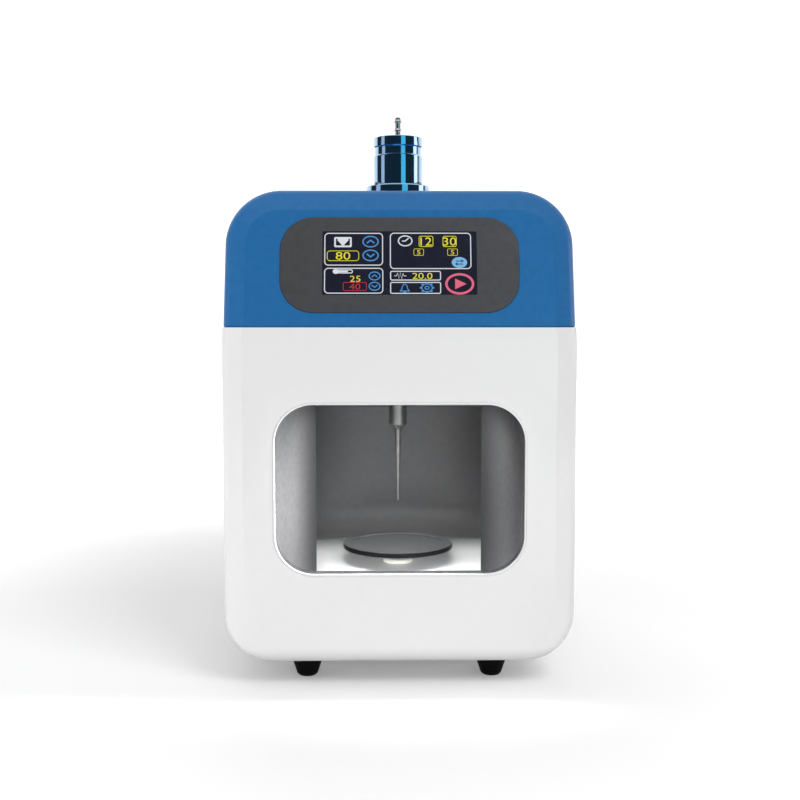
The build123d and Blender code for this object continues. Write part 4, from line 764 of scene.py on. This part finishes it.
def make_camera():
    """Camera at the photograph's place and angle."""
    data = bpy.data.cameras.new("photo_camera")
    data.lens = LENS
    data.sensor_width = SENSOR
    data.clip_start = 0.01
    camera = bpy.data.objects.new("photo_camera", data)
    camera.location = CAMERA_PLACE
    camera.rotation_euler = (radians(90 - CAMERA_PITCH), 0, -radians(CAMERA_YAW))
    scene.collection.objects.link(camera)
    scene.camera = camera


def seen_directly(tree):
    """Mask of the rays from the camera, from mirrors and through glass."""
    path = node(tree, "ShaderNodeLightPath")
    mirror = maths(tree, "MAXIMUM", path.outputs["Is Camera Ray"], path.outputs["Is Glossy Ray"])
    return maths(tree, "MAXIMUM", mirror, path.outputs["Is Transmission Ray"])


def shown_white(tree, shader):
    """Adds plain white light to a shader, only for rays from the camera, mirrors and glass: near by
    the object a little, so that the floor keeps its shadow, and further off more."""
    reach = node(tree, "ShaderNodeVectorMath", {"operation": "LENGTH"}, _0=object_place(tree))
    strength = node(tree, "ShaderNodeMapRange", {"interpolation_type": "SMOOTHSTEP"},
                    Value=reach.outputs["Value"], From_Min=GLOW_START, From_Max=GLOW_END,
                    To_Min=GLOW_NEAR, To_Max=GLOW_FAR)
    level = maths(tree, "MULTIPLY", seen_directly(tree), strength.outputs[0])
    glow = node(tree, "ShaderNodeEmission", Color=(1, 1, 1, 1), Strength=level)
    return node(tree, "ShaderNodeAddShader", _0=shader, _1=glow.outputs[0]).outputs[0]


def make_world():
    """Plain light from all round, and white where the camera or a mirror looks past the floor."""
    world = bpy.data.worlds.new("studio")
    scene.world = world
    world.use_nodes = True
    tree = world.node_tree
    tree.nodes.clear()
    level = node(tree, "ShaderNodeMapRange", Value=seen_directly(tree), To_Min=WORLD_LEVEL, To_Max=1.0)
    glow = node(tree, "ShaderNodeBackground", Color=(1, 1, 1, 1), Strength=level.outputs[0])
    end = node(tree, "ShaderNodeOutputWorld")
    tree.links.new(glow.outputs[0], end.inputs["Surface"])


def studio_paper():
    """Pale paper, with the white that only the camera, mirrors and glass see."""
    material = bpy.data.materials.new("studio_paper")
    material.use_nodes = True
    tree = material.node_tree
    shader = tree.nodes["Principled BSDF"]
    shader.inputs["Base Color"].default_value = (PAPER, PAPER, PAPER, 1)
    shader.inputs["Roughness"].default_value = 0.9
    shader.inputs["Specular IOR Level"].default_value = 0.1
    tree.links.new(shown_white(tree, shader.outputs[0]), tree.nodes["Material Output"].inputs["Surface"])
    return material


def make_floor():
    """Pale floor that turns up into a backdrop behind: a straight run, a quarter bend, a straight rise."""
    half, front, back, bend, top = 6.0, -8.0, 2.0, 1.5, 6.0
    turn = np.linspace(0, pi / 2, 24)
    run = np.stack([np.linspace(front, back, 12), np.zeros(12)], -1)
    curve = np.stack([back + bend * np.sin(turn), bend - bend * np.cos(turn)], -1)
    rise = np.stack([np.full(6, back + bend), np.linspace(bend, top, 6)], -1)
    line = np.concatenate([run, curve[1:], rise[1:]])
    across = np.linspace(-half, half, 9)
    points = np.stack(np.broadcast_arrays(across[None, :], line[:, :1], line[:, 1:]), -1)
    floor = grid_object("studio_floor", points, studio_paper())
    floor.data.shade_smooth()


def lamp(name, place, aim, size, power, spread=180, lights=None):
    """Rectangular soft lamp at a place, turned to look at a point. Its light fans out by spread, and
    falls only on the named things where they are given."""
    data = bpy.data.lights.new(name, "AREA")
    data.shape = "RECTANGLE"
    data.size, data.size_y = size
    data.energy = power
    data.spread = radians(spread)
    thing = bpy.data.objects.new(name, data)
    thing.location = place
    way = np.array(aim, float) - np.array(place, float)
    flat = (way[0] ** 2 + way[1] ** 2) ** 0.5
    thing.rotation_euler = (atan2(flat, -way[2]), 0, atan2(-way[0], way[1]))
    thing.visible_glossy = False
    thing.visible_camera = False
    if lights:
        group = bpy.data.collections.new(name + "_lights")
        for label in lights:
            group.objects.link(bpy.data.objects[label])
        thing.light_linking.receiver_collection = group
    scene.collection.objects.link(thing)


def glowing(name, colour, level):
    """Material that gives off one plain colour."""
    material = bpy.data.materials.new(name)
    material.use_nodes = True
    tree = material.node_tree
    tree.nodes.clear()
    glow = node(tree, "ShaderNodeEmission", Color=(*colour, 1), Strength=level)
    end = node(tree, "ShaderNodeOutputMaterial")
    tree.links.new(glow.outputs[0], end.inputs["Surface"])
    return material


def card(name, start, end, level, colour, low=CARD_LOW, high=CARD_HIGH, distance=CARD_DISTANCE):
    """Curved studio card that only mirrors see: distance times (sin a, -cos a) for the angle a from
    start to end in degrees, to the right of the front, and a height from low to high."""
    turn = np.radians(np.linspace(start, end, max(int(abs(end - start) / 4), 2)))
    rise = np.linspace(low, high, 3)
    points = np.stack(np.broadcast_arrays(
        (distance * np.sin(turn))[None, :], (-distance * np.cos(turn))[None, :], rise[:, None]), -1)
    thing = grid_object(name, points, glowing(name, colour, level))
    thing.visible_camera = False
    thing.visible_diffuse = False
    thing.visible_shadow = False
    thing.visible_transmission = False


def make_lamps():
    """Soft lamps at a plain level. The shells, the chamber and its floor each have their own key or
    fill, so that each has the photograph's tone."""
    shells = ["body_shell", "head_cover"]
    inside = [name for name in nodes if name not in shells] + ["studio_floor"]
    under_stage = ["chamber_floor", "stage_bush", "stage_post"]
    lamp("shell_key", place=(-1.80, -2.70, 1.90), aim=(0, 0, 0.17), size=(1.3, 1.3), power=46.0,
         lights=shells)
    lamp("chamber_key", place=(0.72, -1.03, 1.40), aim=(0, -0.05, 0.13), size=(0.8, 0.8), power=14.0,
         lights=inside)
    lamp("left_softbox", place=(-1.6, 0.02, 0.6), aim=(0, 0, 0.17), size=(0.5, 0.9), power=2.8)
    lamp("right_softbox", place=(1.6, 0.02, 0.6), aim=(0, 0, 0.17), size=(0.5, 0.9), power=3.4)
    lamp("front_fill", place=(0.45, -1.85, 0.5), aim=(0, 0, 0.17), size=(1.2, 0.6), power=5.5)
    lamp("top_softbox", place=(0.0, 0.2, 1.6), aim=(0, 0, 0.1), size=(1.2, 0.9), power=3.0)
    lamp("rear_softbox", place=(-0.5, 2.2, 1.1), aim=(0, 0, 0.12), size=(1.2, 0.9), power=16.0)
    lamp("floor_fill", place=(-0.45, -0.60, 0.40), aim=(0.03, -0.09, 0.058), size=(0.2, 0.2), power=3.0,
         lights=["chamber_floor"])
    lamp("low_fill", place=(-0.03, -0.40, 0.14), aim=(0.01, -0.04, 0.0585), size=(0.14, 0.02), power=0.18,
         spread=50, lights=under_stage)
    lamp("chamber_lamp", place=(0.0, -0.095, 0.184), aim=(0.0, -0.055, 0.0585), size=(0.10, 0.03),
         power=0.16, spread=110)
    lamp("cheek_lamp", place=(0.066, -0.119, 0.128), aim=(-0.075, -0.12, 0.112), size=(0.016, 0.085),
         power=0.12, spread=60)


def make_cards():
    """Cards that the bright metal mirrors: a dim surround and three strips before it."""
    card("dark_surround", start=-112, end=112, level=0.045, colour=(0.8, 0.9, 1.0), low=-0.1, high=2.6,
         distance=2.4)
    card("left_strip", start=-84, end=-66, level=1.0, colour=(1.3, 0.97, 0.96))
    card("centre_strip", start=14, end=34, level=1.0, colour=(0.42, 1.08, 1.1))
    card("right_strip", start=80, end=102, level=1.9, colour=(1.45, 1.12, 1.2))


clear_defaults()
make_world()
make_camera()
make_floor()
make_lamps()
make_cards()
dress_nodes()
make_display()

scene.view_settings.view_transform = "Standard"
